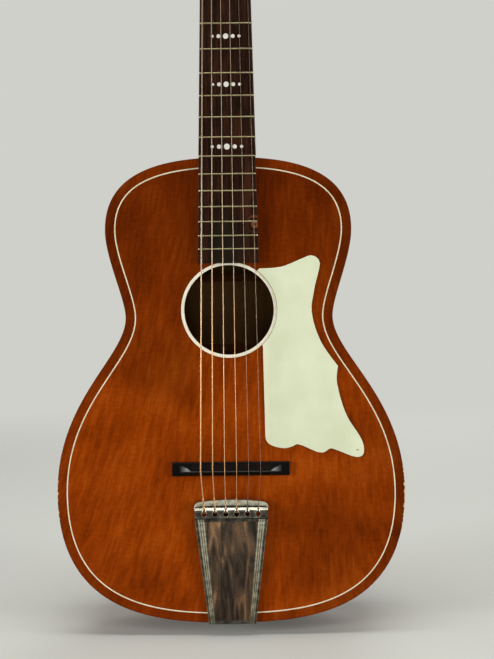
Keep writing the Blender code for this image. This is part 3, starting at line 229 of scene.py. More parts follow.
def woodFields(tree, place, facts, shares):
    # three noises in one value: dark grain lines long up the body, a slower figure that leans, and clouds
    fine, slow, broad = (1000 / facts[key] for key in ("grainMm", "figureMm", "cloudMm"))
    if "fan" in facts:
        # x is sheared by height, the more the further to the bass side: x - (fan0 + fan1 x)(z - fanZ)
        straight, turnBy, level = facts["fan"]
        parts = addNode(tree, "SeparateXYZ", {"Vector": place})
        slant = addNode(tree, "Math", {0: parts.outputs["X"], 1: turnBy, 2: straight},
                operation="MULTIPLY_ADD")
        rise = addNode(tree, "Math", {0: parts.outputs["Z"], 1: level}, operation="SUBTRACT")
        shift = addNode(tree, "Math", {0: slant.outputs[0], 1: rise.outputs[0]}, operation="MULTIPLY")
        moved = addNode(tree, "Math", {0: parts.outputs["X"], 1: shift.outputs[0]}, operation="SUBTRACT")
        place = addNode(tree, "CombineXYZ", {"X": moved.outputs[0], "Y": parts.outputs["Y"],
                "Z": parts.outputs["Z"]}).outputs[0]
    along = addNode(tree, "Mapping", {"Vector": place, "Scale": (fine, fine, fine / facts["stretch"])})
    grain = addNode(tree, "TexNoise", {"Vector": along.outputs[0], "Scale": 1.0, "Detail": 3.0})
    leaning = addNode(tree, "Mapping", {"Vector": place, "Rotation": (0, facts["lean"], 0),
            "Scale": (slow, slow, slow / 4.5)})
    figure = addNode(tree, "TexNoise", {"Vector": leaning.outputs[0], "Scale": 1.0, "Detail": 2.5,
            "Distortion": 0.4})
    clouds = addNode(tree, "TexNoise", {"Vector": place, "Scale": broad, "Detail": 1.5})
    total = addNode(tree, "Math", {0: grain.outputs[0], 1: shares[0]}, operation="MULTIPLY")
    for field, share in ((figure, shares[1]), (clouds, shares[2])):
        total = addNode(tree, "Math", {0: field.outputs[0], 1: share, 2: total.outputs[0]},
                operation="MULTIPLY_ADD")
    return total.outputs[0], grain.outputs[0]


def woodFinish(name, facts):
    # stained wood under thin lacquer
    material, tree = newMaterial(name)
    place = addNode(tree, "TexCoord").outputs["Object"]
    mean, grain = woodFields(tree, place, facts, (0.3, 0.4, 0.3))
    dark, middle, light = facts["colors"]
    color = addNode(tree, "ValToRGB", {"Fac": mean},
            stops=((0.38, dark), (0.5, middle), (0.62, light))).outputs[0]
    if "bareInside" in facts:
        low, high, depth = facts["bareInside"]
        bare = addNode(tree, "ValToRGB", {"Fac": mean}, stops=((0.4, low), (0.6, high)))
        spread = addNode(tree, "SeparateXYZ", {"Vector": place})
        inside = addNode(tree, "Math", {0: spread.outputs["Y"], 1: depth}, operation="LESS_THAN")
        color = addNode(tree, "Mix", {"Factor": inside.outputs[0], "A": color, "B": bare.outputs[0]},
                data_type="RGBA").outputs["Result"]
    bump = addNode(tree, "Bump", {"Height": grain, "Strength": 0.12, "Distance": 0.0002})
    shader = addNode(tree, "BsdfPrincipled",
            {"Base Color": color, "Roughness": facts["gloss"], "Normal": bump.outputs[0],
            "Specular IOR Level": 0.3, "Specular Tint": hexColor("#E8B080")})
    closeMaterial(tree, shader)
    return material


def softSpot(tree, place, centre, reach, top):
    # 1 in the middle of an ellipsoid and 0 at its surface, for a patch whose place and half sizes are known
    offset = addNode(tree, "VectorMath", {0: place, 1: centre}, operation="SUBTRACT")
    shaped = addNode(tree, "VectorMath", {0: offset.outputs[0], 1: tuple(1 / r for r in reach)},
            operation="MULTIPLY")
    away = addNode(tree, "VectorMath", {0: shaped.outputs[0]}, operation="LENGTH")
    patch = addNode(tree, "MapRange", {"Value": away.outputs["Value"], "From Min": 0.3, "From Max": 1.0,
            "To Min": top, "To Max": 0.0}, interpolation_type="SMOOTHSTEP")
    return patch.outputs[0]


topFinish = {"grainMm": 2.2, "stretch": 9, "figureMm": 6, "lean": 0, "cloudMm": 60, "gloss": 0.3,
        "fan": (0.13, -1.6, 0.12), "colors": ("#632201", "#853303", "#9F460C"), "upper": "#BAB3A6",
        "upperFrom": 0.20, "upperTo": 0.42, "bandWidth": 0.0092, "band": "#D8D2CC", "crownBand": (1.5, 1.55,
        1.5, 1), "chip": "#C9A070",
        "edgeDark": "#4A1A08", "flameMm": 2.6, "crack": "#3A1204",
        # darker spots: stain, painted shade on the lower treble bout, and painted shadow under the tailpiece
        "stainAndShadeSpots": (((-0.068, 0.257), (0.060, 0.055), 0.26), ((0.100, 0.075), (0.090, 0.090), 0.26),
        ((0.150, 0.180), (0.060, 0.080), 0.20), ((-0.100, 0.050), (0.070, 0.040), 0.12),
        ((0.176, 0.120), (0.022, 0.090), 0.34), ((0.0, 0.100), (0.045, 0.026), 0.80))}


def stainedTopFinish():
    # amber stain on a pale figured top: darker outside the pinstripe, and darker up by the neck as stain and
    # painted shade, with fine grain and a faint flame that both lean, small chips at the lower edge that bare
    # the wood, and one hairline crack
    t = topFinish
    material, tree = newMaterial("amberStainedTop")
    place = addNode(tree, "TexCoord").outputs["Object"]
    spread = addNode(tree, "SeparateXYZ", {"Vector": place})
    mean, grain = woodFields(tree, place, t, (0.24, 0.30, 0.46))
    # flame: short ripples across the grain, stronger towards the centre and the treble side
    wide = 1000 / t["flameMm"]
    ripple = addNode(tree, "Mapping", {"Vector": place, "Scale": (wide / 2.6, wide, wide)})
    flame = addNode(tree, "TexNoise", {"Vector": ripple.outputs[0], "Scale": 1.0, "Detail": 2.0})
    mean = addNode(tree, "Math", {0: flame.outputs[0], 1: 0.16, 2: mean}, operation="MULTIPLY_ADD").outputs[0]
    mean = addNode(tree, "Math", {0: mean, 1: 0.08}, operation="SUBTRACT").outputs[0]
    dark, middle, light = t["colors"]
    tint = addNode(tree, "ValToRGB", {"Fac": mean}, stops=((0.34, dark), (0.5, middle), (0.66, light)))
    # painted shade in part: the top is multiplied darker upwards to the neck, where less light falls
    upper = addNode(tree, "MapRange", {"Value": spread.outputs["Z"], "From Min": t["upperFrom"],
            "From Max": t["upperTo"]}, interpolation_type="SMOOTHSTEP")
    shade = addNode(tree, "Mix", {"Factor": upper.outputs[0], "A": tint.outputs[0],
            "B": hexColor(t["upper"])}, data_type="RGBA", blend_type="MULTIPLY").outputs["Result"]
    # darker in a few broad places: a thicker stain at the bass waist, painted shade over the lower treble
    # bout in the next two, simply darker in the fourth and fifth, and a painted shadow under the tailpiece's
    # roll
    for centre, reach, depth in t["stainAndShadeSpots"]:
        spot = softSpot(tree, place, (centre[0], 0, centre[1]), (reach[0], 0.1, reach[1]), depth)
        left = addNode(tree, "Math", {0: 1.0, 1: spot}, operation="SUBTRACT")
        shade = addNode(tree, "VectorMath", {0: shade, "Scale": left.outputs[0]},
                operation="SCALE").outputs[0]
    edge = addNode(tree, "Attribute", attribute_name="edgeDistance").outputs["Fac"]
    outside = addNode(tree, "MapRange", {"Value": edge, "From Min": t["bandWidth"] - 0.0003,
            "From Max": t["bandWidth"], "To Min": 1.0, "To Max": 0.0})
    crown = addNode(tree, "MapRange", {"Value": spread.outputs["Z"], "From Min": 0.42, "From Max": 0.455})
    bandTint = addNode(tree, "Mix", {"Factor": crown.outputs[0], "A": hexColor(t["band"]),
            "B": t["crownBand"]}, data_type="RGBA")
    banded = addNode(tree, "Mix", {"Factor": outside.outputs[0], "A": shade,
            "B": bandTint.outputs["Result"]}, data_type="RGBA", blend_type="MULTIPLY")
    rim = addNode(tree, "MapRange", {"Value": edge, "From Min": 0.0002, "From Max": 0.0016, "To Min": 0.7,
            "To Max": 0.0})
    rimmed = addNode(tree, "Mix", {"Factor": rim.outputs[0], "A": banded.outputs["Result"],
            "B": hexColor(t["edgeDark"])}, data_type="RGBA")
    # chips: spots of a fine noise that bare the wood, only at the very edge of the lower bouts
    spots = addNode(tree, "TexNoise", {"Vector": place, "Scale": 330.0, "Detail": 3.0})
    patches = addNode(tree, "TexNoise", {"Vector": place, "Scale": 28.0, "Detail": 1.0})
    nearEdge = addNode(tree, "MapRange", {"Value": edge, "From Min": 0.0002, "From Max": 0.0030,
            "To Min": 0.30, "To Max": -0.25})
    level = addNode(tree, "MapRange", {"Value": spread.outputs["Z"], "From Min": 0.03, "From Max": 0.23,
            "To Min": 0.0, "To Max": math.pi})
    bell = addNode(tree, "Math", {0: level.outputs[0]}, operation="SINE")
    reach = addNode(tree, "Math", {0: patches.outputs[0], 1: 0.45, 2: nearEdge.outputs[0]},
            operation="MULTIPLY_ADD")
    reach = addNode(tree, "Math", {0: spots.outputs[0], 1: reach.outputs[0]}, operation="ADD")
    reach = addNode(tree, "Math", {0: reach.outputs[0], 1: bell.outputs[0]}, operation="MULTIPLY")
    chips = addNode(tree, "MapRange", {"Value": reach.outputs[0], "From Min": 0.95, "From Max": 1.05})
    chipped = addNode(tree, "Mix", {"Factor": chips.outputs[0], "A": rimmed.outputs["Result"],
            "B": hexColor(t["chip"])}, data_type="RGBA")
    # one hairline crack in the lacquer, upright, under the pickguard's lower edge
    wobble = addNode(tree, "TexNoise", {"Vector": place, "Scale": 120.0, "Detail": 2.0})
    drift = addNode(tree, "Math", {0: wobble.outputs[0], 1: 0.002, 2: 0.0580}, operation="MULTIPLY_ADD")
    aside = addNode(tree, "Math", {0: spread.outputs["X"], 1: drift.outputs[0]}, operation="SUBTRACT")
    aside = addNode(tree, "Math", {0: aside.outputs[0]}, operation="ABSOLUTE")
    line = addNode(tree, "MapRange", {"Value": aside.outputs[0], "From Min": 0.0001, "From Max": 0.0004,
            "To Min": 0.75, "To Max": 0.0})
    middle = addNode(tree, "Math", {0: spread.outputs["Z"], 1: 0.1610}, operation="SUBTRACT")
    middle = addNode(tree, "Math", {0: middle.outputs[0]}, operation="ABSOLUTE")
    ends = addNode(tree, "MapRange", {"Value": middle.outputs[0], "From Min": 0.009, "From Max": 0.014,
            "To Min": 1.0, "To Max": 0.0})
    line = addNode(tree, "Math", {0: line.outputs[0], 1: ends.outputs[0]}, operation="MULTIPLY")
    chipped = addNode(tree, "Mix", {"Factor": line.outputs[0], "A": chipped.outputs["Result"],
            "B": hexColor(t["crack"])}, data_type="RGBA")
    bump = addNode(tree, "Bump", {"Height": grain, "Strength": 0.08, "Distance": 0.0002})
    shader = addNode(tree, "BsdfPrincipled",
            {"Base Color": chipped.outputs["Result"], "Roughness": t["gloss"], "Normal": bump.outputs[0],
            "Specular IOR Level": 0.2, "Specular Tint": hexColor("#E09050")})
    closeMaterial(tree, shader)
    return material


boardFinish = {"grainMm": 0.9, "stretch": 45, "figureMm": 5, "lean": 0, "cloudMm": 40, "gloss": 0.42,
        "colors": ("#100806", "#22130D", "#3C2012"), "blackened": "#161813", "streak": "#442419",
        "worn": "#74442C"}


def boardWoodFinish():
    # dark stained hardwood with fine open pores; the fingers have blackened its end under the middle strings,
    # and beside the first string runs a red-brown streak with a small lighter knot
    b = boardFinish
    material, tree = newMaterial("stainedBoardWood")
    place = addNode(tree, "TexCoord").outputs["Object"]
    mean, grain = woodFields(tree, place, b, (0.45, 0.30, 0.25))
    dark, middle, light = b["colors"]
    color = addNode(tree, "ValToRGB", {"Fac": mean},
            stops=((0.40, dark), (0.5, middle), (0.62, light))).outputs[0]
    patches = (((-0.003, 0, 0.368), (0.021, 0.1, 0.060), 0.75, b["blackened"]),
            ((0.0195, 0, 0.425), (0.0040, 0.1, 0.060), 0.6, b["streak"]))
    for centre, reach, top, tint in patches:
        spot = softSpot(tree, place, centre, reach, top)
        uneven = addNode(tree, "Math", {0: mean, 1: 2.0}, operation="MULTIPLY")
        share = addNode(tree, "Math", {0: spot, 1: uneven.outputs[0]}, operation="MULTIPLY", use_clamp=True)
        color = addNode(tree, "Mix", {"Factor": share.outputs[0], "A": color, "B": hexColor(tint)},
                data_type="RGBA").outputs["Result"]
    # a small knot at the treble edge: bent light rings, seen only inside the rubbed spot
    centre = addNode(tree, "VectorMath", {0: place, 1: (0.0262, 0, 0.3965)}, operation="SUBTRACT")
    rings = addNode(tree, "TexWave", {"Vector": centre.outputs[0], "Scale": 60.0, "Distortion": 2.5,
            "Detail": 2.0, "Detail Scale": 2.0}, wave_type="RINGS", rings_direction="Y")
    thin = addNode(tree, "MapRange", {"Value": rings.outputs["Fac"], "From Min": 0.45, "From Max": 0.95})
    spot = softSpot(tree, place, (0.0262, 0, 0.398), (0.0080, 0.1, 0.0125), 1.0)
    share = addNode(tree, "Math", {0: spot, 1: thin.outputs[0]}, operation="MULTIPLY")
    color = addNode(tree, "Mix", {"Factor": share.outputs[0], "A": color, "B": hexColor(b["worn"])},
            data_type="RGBA").outputs["Result"]
    bump = addNode(tree, "Bump", {"Height": grain, "Strength": 0.2, "Distance": 0.0002})
    shader = addNode(tree, "BsdfPrincipled",
            {"Base Color": color, "Roughness": b["gloss"], "Normal": bump.outputs[0],
            "Specular IOR Level": 0.12, "Specular Tint": hexColor("#F0B090")})
    closeMaterial(tree, shader)
    return material


bridgeFinish = {"black": "#060504", "brown": "#0E0B09", "paintedHighlight": "#7A7B7A", "line": "#3A3834", "patchMm": 8,
        "gloss": 0.3, "hornFrom": 0.0390, "hornTo": 0.0508, "saddleZ": 0.155}


def highlightPaintedBridgeFinish():
    # ebonised wood, satin black: a thin grey painted highlight along the ridge, and at each of its ends a
    # scoop that opens like a horn with a painted highlight, grey at its narrow end and fading outwards
    b = bridgeFinish
    material, tree = newMaterial("bridgeWoodPaintedHighlight")
    place = addNode(tree, "TexCoord").outputs["Object"]
    clouds = addNode(tree, "TexNoise", {"Vector": place, "Scale": 1000 / b["patchMm"], "Detail": 5.0})
    stain = addNode(tree, "ValToRGB", {"Fac": clouds.outputs[0]},
            stops=((0.35, b["black"]), (0.65, b["brown"])))
    spread = addNode(tree, "SeparateXYZ", {"Vector": place})
    out = addNode(tree, "Math", {0: spread.outputs["X"]}, operation="ABSOLUTE")
    along = addNode(tree, "MapRange", {"Value": out.outputs[0], "From Min": b["hornFrom"],
            "From Max": b["hornTo"]})
    # the horn's middle line climbs a little outwards and its half width grows from 0.5 to 4 mm
    middle = addNode(tree, "Math", {0: along.outputs[0], 1: 0.0014, 2: b["saddleZ"] - 0.0004},
            operation="MULTIPLY_ADD")
    wide = addNode(tree, "Math", {0: along.outputs[0], 1: 0.0036, 2: 0.0005}, operation="MULTIPLY_ADD")
    away = addNode(tree, "Math", {0: spread.outputs["Z"], 1: middle.outputs[0]}, operation="SUBTRACT")
    away = addNode(tree, "Math", {0: away.outputs[0]}, operation="ABSOLUTE")
    ratio = addNode(tree, "Math", {0: away.outputs[0], 1: wide.outputs[0]}, operation="DIVIDE")
    within = addNode(tree, "MapRange", {"Value": ratio.outputs[0], "From Min": 0.6, "From Max": 1.1,
            "To Min": 1.0, "To Max": 0.0}, interpolation_type="SMOOTHSTEP")
    # painted highlight in each scoop, brightest near its narrow end
    highlightAlong = addNode(tree, "ValToRGB", {"Fac": along.outputs[0]},
            stops=((0.0, gray(0.0)), (0.12, gray(0.7)), (0.4, gray(1.0)), (0.75, gray(0.3)),
            (1.0, gray(0.0))))
    hornHighlight = addNode(tree, "Math", {0: within.outputs[0], 1: highlightAlong.outputs[0]}, operation="MULTIPLY")
    offLine = addNode(tree, "Math", {0: spread.outputs["Z"], 1: b["saddleZ"] - 0.0002}, operation="SUBTRACT")
    offLine = addNode(tree, "Math", {0: offLine.outputs[0]}, operation="ABSOLUTE")
    # painted highlight: a thin grey line along the ridge's crest
    line = addNode(tree, "MapRange", {"Value": offLine.outputs[0], "From Min": 0.0003, "From Max": 0.0007,
            "To Min": 1.0, "To Max": 0.0})
    onRidge = addNode(tree, "Math", {0: out.outputs[0], 1: b["hornFrom"]}, operation="LESS_THAN")
    line = addNode(tree, "Math", {0: line.outputs[0], 1: onRidge.outputs[0]}, operation="MULTIPLY")
    ridgeHighlighted = addNode(tree, "Mix", {"Factor": line.outputs[0], "A": stain.outputs[0], "B": hexColor(b["line"])},
            data_type="RGBA")
    tint = addNode(tree, "Mix", {"Factor": hornHighlight.outputs[0], "A": ridgeHighlighted.outputs["Result"],
            "B": hexColor(b["paintedHighlight"])}, data_type="RGBA")
    shader = addNode(tree, "BsdfPrincipled",
            {"Base Color": tint.outputs["Result"], "Roughness": b["gloss"], "Specular IOR Level": 0.06})
    closeMaterial(tree, shader)
    return material


smooths = {
        "creamCelluloid": ("#E4DBC2", "#F0E9D6", 0.35, 0.0, 10),
        "creamButtonPlastic": ("#E0D5B4", "#EEE5CB", 0.35, 0.0, 10),
        "polishedBone": ("#DFD6BA", "#EDE6CF", 0.4, 0.0, 4),
        "creamPinstripe": ("#CFC3A4", "#E0D6BA", 0.35, 0.0, 10),
        "pearlDisc": ("#CFCCC0", "#ECE9E0", 0.2, 0.0, 1.2),
        "ebonisedWood": ("#0B0A09", "#171412", 0.32, 0.0, 8, 0.16),
        "machinedBrass": ("#8E6E31", "#A78847", 0.32, 1.0, 3),
        "fretBrass": ("#8D8461", "#9D9572", 0.3, 1.0, 3),
        "agedNickelTuner": ("#958F84", "#AEA9A0", 0.28, 1.0, 6),
        "plainSteelWire": ("#70614F", "#7E6F5E", 0.36, 1.0, 3),
        }


def smoothFinish(name, low, high, roughness, metallic, patchMm, specular=0.4):
    # plastic, bone, polished wood or metal: a faint cloudy change of colour and of roughness
    material, tree = newMaterial(name)
    place = addNode(tree, "TexCoord").outputs["Object"]
    clouds = addNode(tree, "TexNoise", {"Vector": place, "Scale": 1000 / patchMm, "Detail": 5.0})
    tint = addNode(tree, "ValToRGB", {"Fac": clouds.outputs[0]}, stops=((0.35, low), (0.65, high)))
    rough = addNode(tree, "MapRange",
            {"Value": clouds.outputs[0], "To Min": roughness * 0.8, "To Max": roughness * 1.25})
    shader = addNode(tree, "BsdfPrincipled",
            {"Base Color": tint.outputs[0], "Roughness": rough.outputs[0], "Metallic": metallic,
            "Specular IOR Level": specular})
    closeMaterial(tree, shader)
    return material


guardFinish = {"low": "#CFD5B4", "high": "#D8DDBE", "cream": "#E2DEBE", "patchMm": 30, "edgeX": 0.0326,
        "stripWidth": 0.0032, "stripTop": 0.277, "gloss": 0.25}


def celluloidGuardFinish():
    # pale green celluloid with faint clouds; a strip beside the straight inner edge is cream
    g = guardFinish
    material, tree = newMaterial("paleGreenCelluloid")
    place = addNode(tree, "TexCoord").outputs["Object"]
    clouds = addNode(tree, "TexNoise", {"Vector": place, "Scale": 1000 / g["patchMm"], "Detail": 6.0})
    tint = addNode(tree, "ValToRGB", {"Fac": clouds.outputs[0]}, stops=((0.35, g["low"]), (0.65, g["high"])))
    spread = addNode(tree, "SeparateXYZ", {"Vector": place})
    strip = addNode(tree, "MapRange", {"Value": spread.outputs["X"], "From Min": g["edgeX"] + g["stripWidth"],
            "From Max": g["edgeX"] + g["stripWidth"] + 0.004, "To Min": 1.0, "To Max": 0.0})
    low = addNode(tree, "MapRange", {"Value": spread.outputs["Z"], "From Min": g["stripTop"],
            "From Max": g["stripTop"] + 0.01, "To Min": 0.8, "To Max": 0.0})
    share = addNode(tree, "Math", {0: strip.outputs[0], 1: low.outputs[0]}, operation="MULTIPLY")
    creamStrip = addNode(tree, "Mix", {"Factor": share.outputs[0], "A": tint.outputs[0],
            "B": hexColor(g["cream"])}, data_type="RGBA")
    shader = addNode(tree, "BsdfPrincipled", {"Base Color": creamStrip.outputs["Result"],
            "Roughness": g["gloss"], "Specular IOR Level": 0.4})
    closeMaterial(tree, shader)
    return material


windingFinish = {"pitchMm": 0.35, "playedAndShaded": ("#6E5E4C", "#948470"), "clean": ("#8E6A48", "#C69E74"),
        "cleanBelow": 0.26, "dulledAbove": 0.37}


def windingWireFinish():
    # round bronze wire wound on a core: a painted highlight on each crown and painted shade in each groove,
    # every third of a millimetre; warm over the body and dulled over the board, where the fingers touch it
    # and where the colour is also darkened as painted shade
    w = windingFinish
    material, tree = newMaterial("bronzeWinding")
    along = addNode(tree, "Attribute", attribute_name="along").outputs["Fac"]
    phase = addNode(tree, "Math", {0: along, 1: 2000 * math.pi / w["pitchMm"]}, operation="MULTIPLY")
    wave = addNode(tree, "Math", {0: phase.outputs[0]}, operation="SINE")
    ridge = addNode(tree, "MapRange", {"Value": wave.outputs[0], "From Min": -1.0})
    # each ramp runs from painted shade in the groove to a painted highlight on the crown
    clean, playedAndShaded = (addNode(tree, "ValToRGB", {"Fac": ridge.outputs[0]},
            stops=((0.1, w[state][0]), (0.55, w[state][1]))) for state in ("clean", "playedAndShaded"))
    place = addNode(tree, "TexCoord").outputs["Object"]
    height = addNode(tree, "SeparateXYZ", {"Vector": place})
    # over the board the colour is dulled: finger wear and painted shade
    dulledAndShaded = addNode(tree, "MapRange", {"Value": height.outputs["Z"], "From Min": w["cleanBelow"],
            "From Max": w["dulledAbove"]})
    tint = addNode(tree, "Mix", {"Factor": dulledAndShaded.outputs[0], "A": clean.outputs[0], "B": playedAndShaded.outputs[0]},
            data_type="RGBA")
    bump = addNode(tree, "Bump", {"Height": ridge.outputs[0], "Strength": 0.08, "Distance": 0.0001})
    shader = addNode(tree, "BsdfPrincipled",
            {"Base Color": tint.outputs["Result"], "Metallic": 1.0, "Roughness": 0.4,
            "Normal": bump.outputs[0]})
    closeMaterial(tree, shader)
    return material


plateFinish = {"patchMm": 5, "roughness": 0.17, "streakMm": 8, "streakLength": 5,
        "tones": ((0.0, "#171613"), (0.2, "#36342E"), (0.4, "#5D5952"), (0.6, "#888472"), (0.8, "#B6B19C"),
        (1.0, "#DBD6C0")),
        "panel": ((0.30, "#3F3A34"), (0.46, "#625449"), (0.60, "#8B6F59"), (0.74, "#D1A179")),
        "grime": ((0.35, "#8A8078"), (0.62, "#FFFFFF"))}


def agedNickelPlateFinish():
    # aged nickel: a painted highlight at the roll's crest, grey on the beads with painted highlights on their
    # ridges, nearly black in the valleys with painted shade and tarnish; the hollow middle carries a painted
    # reflection of the room in soft upright streaks of brown and old gold, with fine grime, darker towards
    # the tail
    p = plateFinish
    material, tree = newMaterial("agedNickelPlate")
    place = addNode(tree, "TexCoord").outputs["Object"]
    clouds = addNode(tree, "TexNoise", {"Vector": place, "Scale": 1000 / p["patchMm"], "Detail": 4.0})
    # painted highlights and shade from the plate's tone attribute, with tarnish in the valleys
    tone = addNode(tree, "Attribute", attribute_name="paintedLightAndTarnishTone").outputs["Fac"]
    shift = addNode(tree, "MapRange", {"Value": clouds.outputs[0], "From Min": 0.3, "From Max": 0.7,
            "To Min": -0.17, "To Max": 0.17})
    level = addNode(tree, "Math", {0: tone, 1: shift.outputs[0]}, operation="ADD")
    tint = addNode(tree, "ValToRGB", {"Fac": level.outputs[0]}, stops=p["tones"])
    # painted reflection of the room in the hollow middle
    wide = 1000 / p["streakMm"]
    stretched = addNode(tree, "Mapping", {"Vector": place, "Scale": (wide, wide, wide / p["streakLength"])})
    streaks = addNode(tree, "TexNoise", {"Vector": stretched.outputs[0], "Scale": 1.0, "Detail": 1.2,
            "Distortion": 1.2})
    mirrored = addNode(tree, "ValToRGB", {"Fac": streaks.outputs[0]}, stops=p["panel"])
    grains = addNode(tree, "TexNoise", {"Vector": place, "Scale": 900.0, "Detail": 2.0})
    grime = addNode(tree, "ValToRGB", {"Fac": grains.outputs[0]}, stops=p["grime"])
    dirty = addNode(tree, "Mix", {"Factor": 0.5, "A": mirrored.outputs[0], "B": grime.outputs[0]},
            data_type="RGBA", blend_type="MULTIPLY")
    # darker towards the tail
    height = addNode(tree, "SeparateXYZ", {"Vector": place})
    fade = addNode(tree, "MapRange", {"Value": height.outputs["Z"], "From Min": 0.0, "From Max": 0.1,
            "To Min": 0.62, "To Max": 1.0})
    faded = addNode(tree, "VectorMath", {0: dirty.outputs["Result"], "Scale": fade.outputs[0]},
            operation="SCALE")
    hollow = addNode(tree, "Attribute", attribute_name="hollow").outputs["Fac"]
    both = addNode(tree, "Mix", {"Factor": hollow, "A": tint.outputs[0], "B": faded.outputs[0]},
            data_type="RGBA")
    rough = addNode(tree, "MapRange", {"Value": clouds.outputs[0], "To Min": p["roughness"] * 0.7,
            "To Max": p["roughness"] * 1.4})
    shader = addNode(tree, "BsdfPrincipled",
            {"Base Color": both.outputs["Result"], "Metallic": 1.0, "Roughness": rough.outputs[0]})
    closeMaterial(tree, shader)
    return material


finishes = {name: woodFinish(name, facts) for name, facts in woods.items()}
finishes.update({name: smoothFinish(name, *facts) for name, facts in smooths.items()})
finishes.update({"stainedTop": stainedTopFinish(), "stainedBoardWood": boardWoodFinish(),
        "bronzeWinding": windingWireFinish(),
        "bridgeWoodPaintedHighlight": highlightPaintedBridgeFinish(), "paleGreenCelluloid": celluloidGuardFinish(),
        "agedNickelPlate": agedNickelPlateFinish()})
print("materials made:", len(finishes))


# Body: soundboard, ring, pinstripe, pickguard, ribs and back

body = {"length": 0.463, "depth": 0.090, "lowerHalf": 0.173, "lowerZ": 0.130, "waistHalf": 0.10225,
        "waistZ": 0.3065,
        "upperHalf": 0.12125, "upperZ": 0.392, "plate": 0.0028, "plateRound": 0.00045, "overhang": 0.0004,
        "rib": 0.0022, "holeZ": 0.313, "holeRadius": 0.0443, "bandWidth": 0.030, "curveSteps": 56}
tenon = {"rootHalf": 0.0085, "endHalf": 0.0125, "jointZ": 0.4633, "length": 0.015, "front": 0.0006,
        "back": 0.070}


def bodyOutline(steps=body["curveSteps"]):
    # the treble half from the tail to the neck in four cubic curves, then its mirror image back to the tail
    low, waist, high = body["lowerHalf"], body["waistHalf"], body["upperHalf"]
    lowZ, waistZ, highZ, top = body["lowerZ"], body["waistZ"], body["upperZ"], body["length"]
    rise, fall, shoulder = waistZ - lowZ, highZ - waistZ, top - highZ
    curves = [[(0, 0), (low * 0.385, 0), (low, lowZ * 0.03), (low, lowZ)],
            [(low, lowZ), (low, lowZ + rise * 0.54), (waist, waistZ - rise * 0.22), (waist, waistZ)],
            [(waist, waistZ), (waist, waistZ + fall * 0.22), (high, highZ - fall * 0.32), (high, highZ)],
            [(high, highZ), (high, highZ + shoulder * 0.88), (high * 0.46, top), (0, top)]]
    half = np.concatenate([[(0.0, 0.0)]] + [bezier(curve, steps)[1:] for curve in curves])
    return np.concatenate((half, half[-2:0:-1] * (-1, 1)))


def onPlane(loop, y):
    return np.column_stack((loop[:, 0], np.full(len(loop), y), loop[:, 1]))


def tenonLoop(spare, out):
    # the dovetail seen from the front
    root, end = tenon["rootHalf"] + spare, tenon["endHalf"] + spare
    low = tenon["jointZ"] - tenon["length"] - spare
    z = tenon["jointZ"]
    return np.array([(-root, out), (-root, z), (-end, low), (end, low), (root, z), (root, out)])


def slab(loop, front, back):
    return gridPart(np.array([onPlane(loop, front), onPlane(loop, back)]))


def roundedEdge(radius, steps=5):
    # inset and depth along a quarter circle from the face over the rim
    turn = np.linspace(0, math.pi / 2, steps + 1)
    return radius * (1 - np.sin(turn)), radius * (1 - np.cos(turn))


def makeSoundboard():
    # rows run round the plate's section and columns round the outline: a row between the ring's seat and
    # the outer band is a blend of a circle and the outline, a row in the band is the outline moved inwards
    loop, holeZ, thick = bodyOutline(), body["holeZ"], body["plate"]
    inner = moveInwards(loop, body["bandWidth"])
    angle = np.arctan2(inner[:, 1] - holeZ, inner[:, 0])
    unit = np.column_stack((np.cos(angle), np.sin(angle)))
    ringAt = lambda radius: (0, holeZ) + unit * radius
    hole, seat, ledge = body["holeRadius"], ring["outer"] + 0.0003, ring["depth"] + 0.0003
    rows = [(ringAt(hole), thick, 0.1), (ringAt(hole), ledge, 0.1), (ringAt(seat), ledge, 0.1),
            (ringAt(seat), 0.0001, 0.1), (ringAt(seat + 0.0001), 0, 0.1)]
    for share in np.linspace(0, 1, 9)[1:]:
        rows.append((ringAt(seat) * (1 - share) + inner * share, 0, body["bandWidth"] + 0.05 * (1 - share)))
    for distance in (0.024, 0.018, 0.014, 0.0115, 0.010, 0.0085, 0.006, 0.004, 0.0025, 0.0015, 0.0009):
        rows.append((moveInwards(loop, distance), 0, distance))
    for inset, depth in zip(*roundedEdge(body["plateRound"])):
        rows.append((moveInwards(loop, inset), depth, inset))
    rows.append((moveInwards(loop, 0.0), thick - 0.00015, 0))
    rows.append((moveInwards(loop, 0.00015), thick, 0))
    for share in (0.0, 0.5):
        rows.append((inner * (1 - share) + ringAt(hole) * share, thick, 0.1))
    grid = np.array([onPlane(points, depth) for points, depth, distance in rows])
    edge = np.repeat([distance for points, depth, distance in rows], len(loop))
    notch = slab(tenonLoop(0.0003, body["length"] + 0.01), -0.01, 0.01)
    addPiece("soundboardPlate", [gridPart(grid, wrapRows=True)], finishes["stainedTop"], "root",
            ["soundboard"], {"edgeDistance": edge}, [notch])


ring = {"outer": 0.0473, "depth": 0.0016, "proud": 0.00008, "sides": 128}


def makeRing():
    # a low rounded crown between two flat walls, turned about the soundhole's centre
    inside, outside, high = body["holeRadius"], ring["outer"], ring["proud"]
    share = np.linspace(0, 1, 9)
    crown = [(inside + (outside - inside) * s, high * math.sin(math.pi * s) ** 0.5) for s in share]
    profile = [(inside, -ring["depth"])] + crown + [(outside, -ring["depth"])]
    part = turned(profile, atFace(0, 0, body["holeZ"]), ring["sides"], closed=True)
    addPiece("soundholeBinding", [part], finishes["creamCelluloid"], "root", ["soundhole_ring"])


stripe = {"centre": 0.0098, "width": 0.0012, "proud": 0.00007, "sunk": 0.0003}


def makePinstripe():
    # an inlaid line: a flat section with soft shoulders carried round the outline
    loop, half = bodyOutline(), stripe["width"] / 2
    section = [(-half, stripe["sunk"]), (-half, -stripe["proud"] * 0.4), (-half * 0.8, -stripe["proud"]),
            (half * 0.8, -stripe["proud"]), (half, -stripe["proud"] * 0.4), (half, stripe["sunk"])]
    grid = np.array([onPlane(moveInwards(loop, stripe["centre"] + across), depth) for across,
            depth in section])
    part = gridPart(grid.transpose(1, 0, 2), wrapRows=True)
    addPiece("pinstripe", [part], finishes["creamPinstripe"], "root")


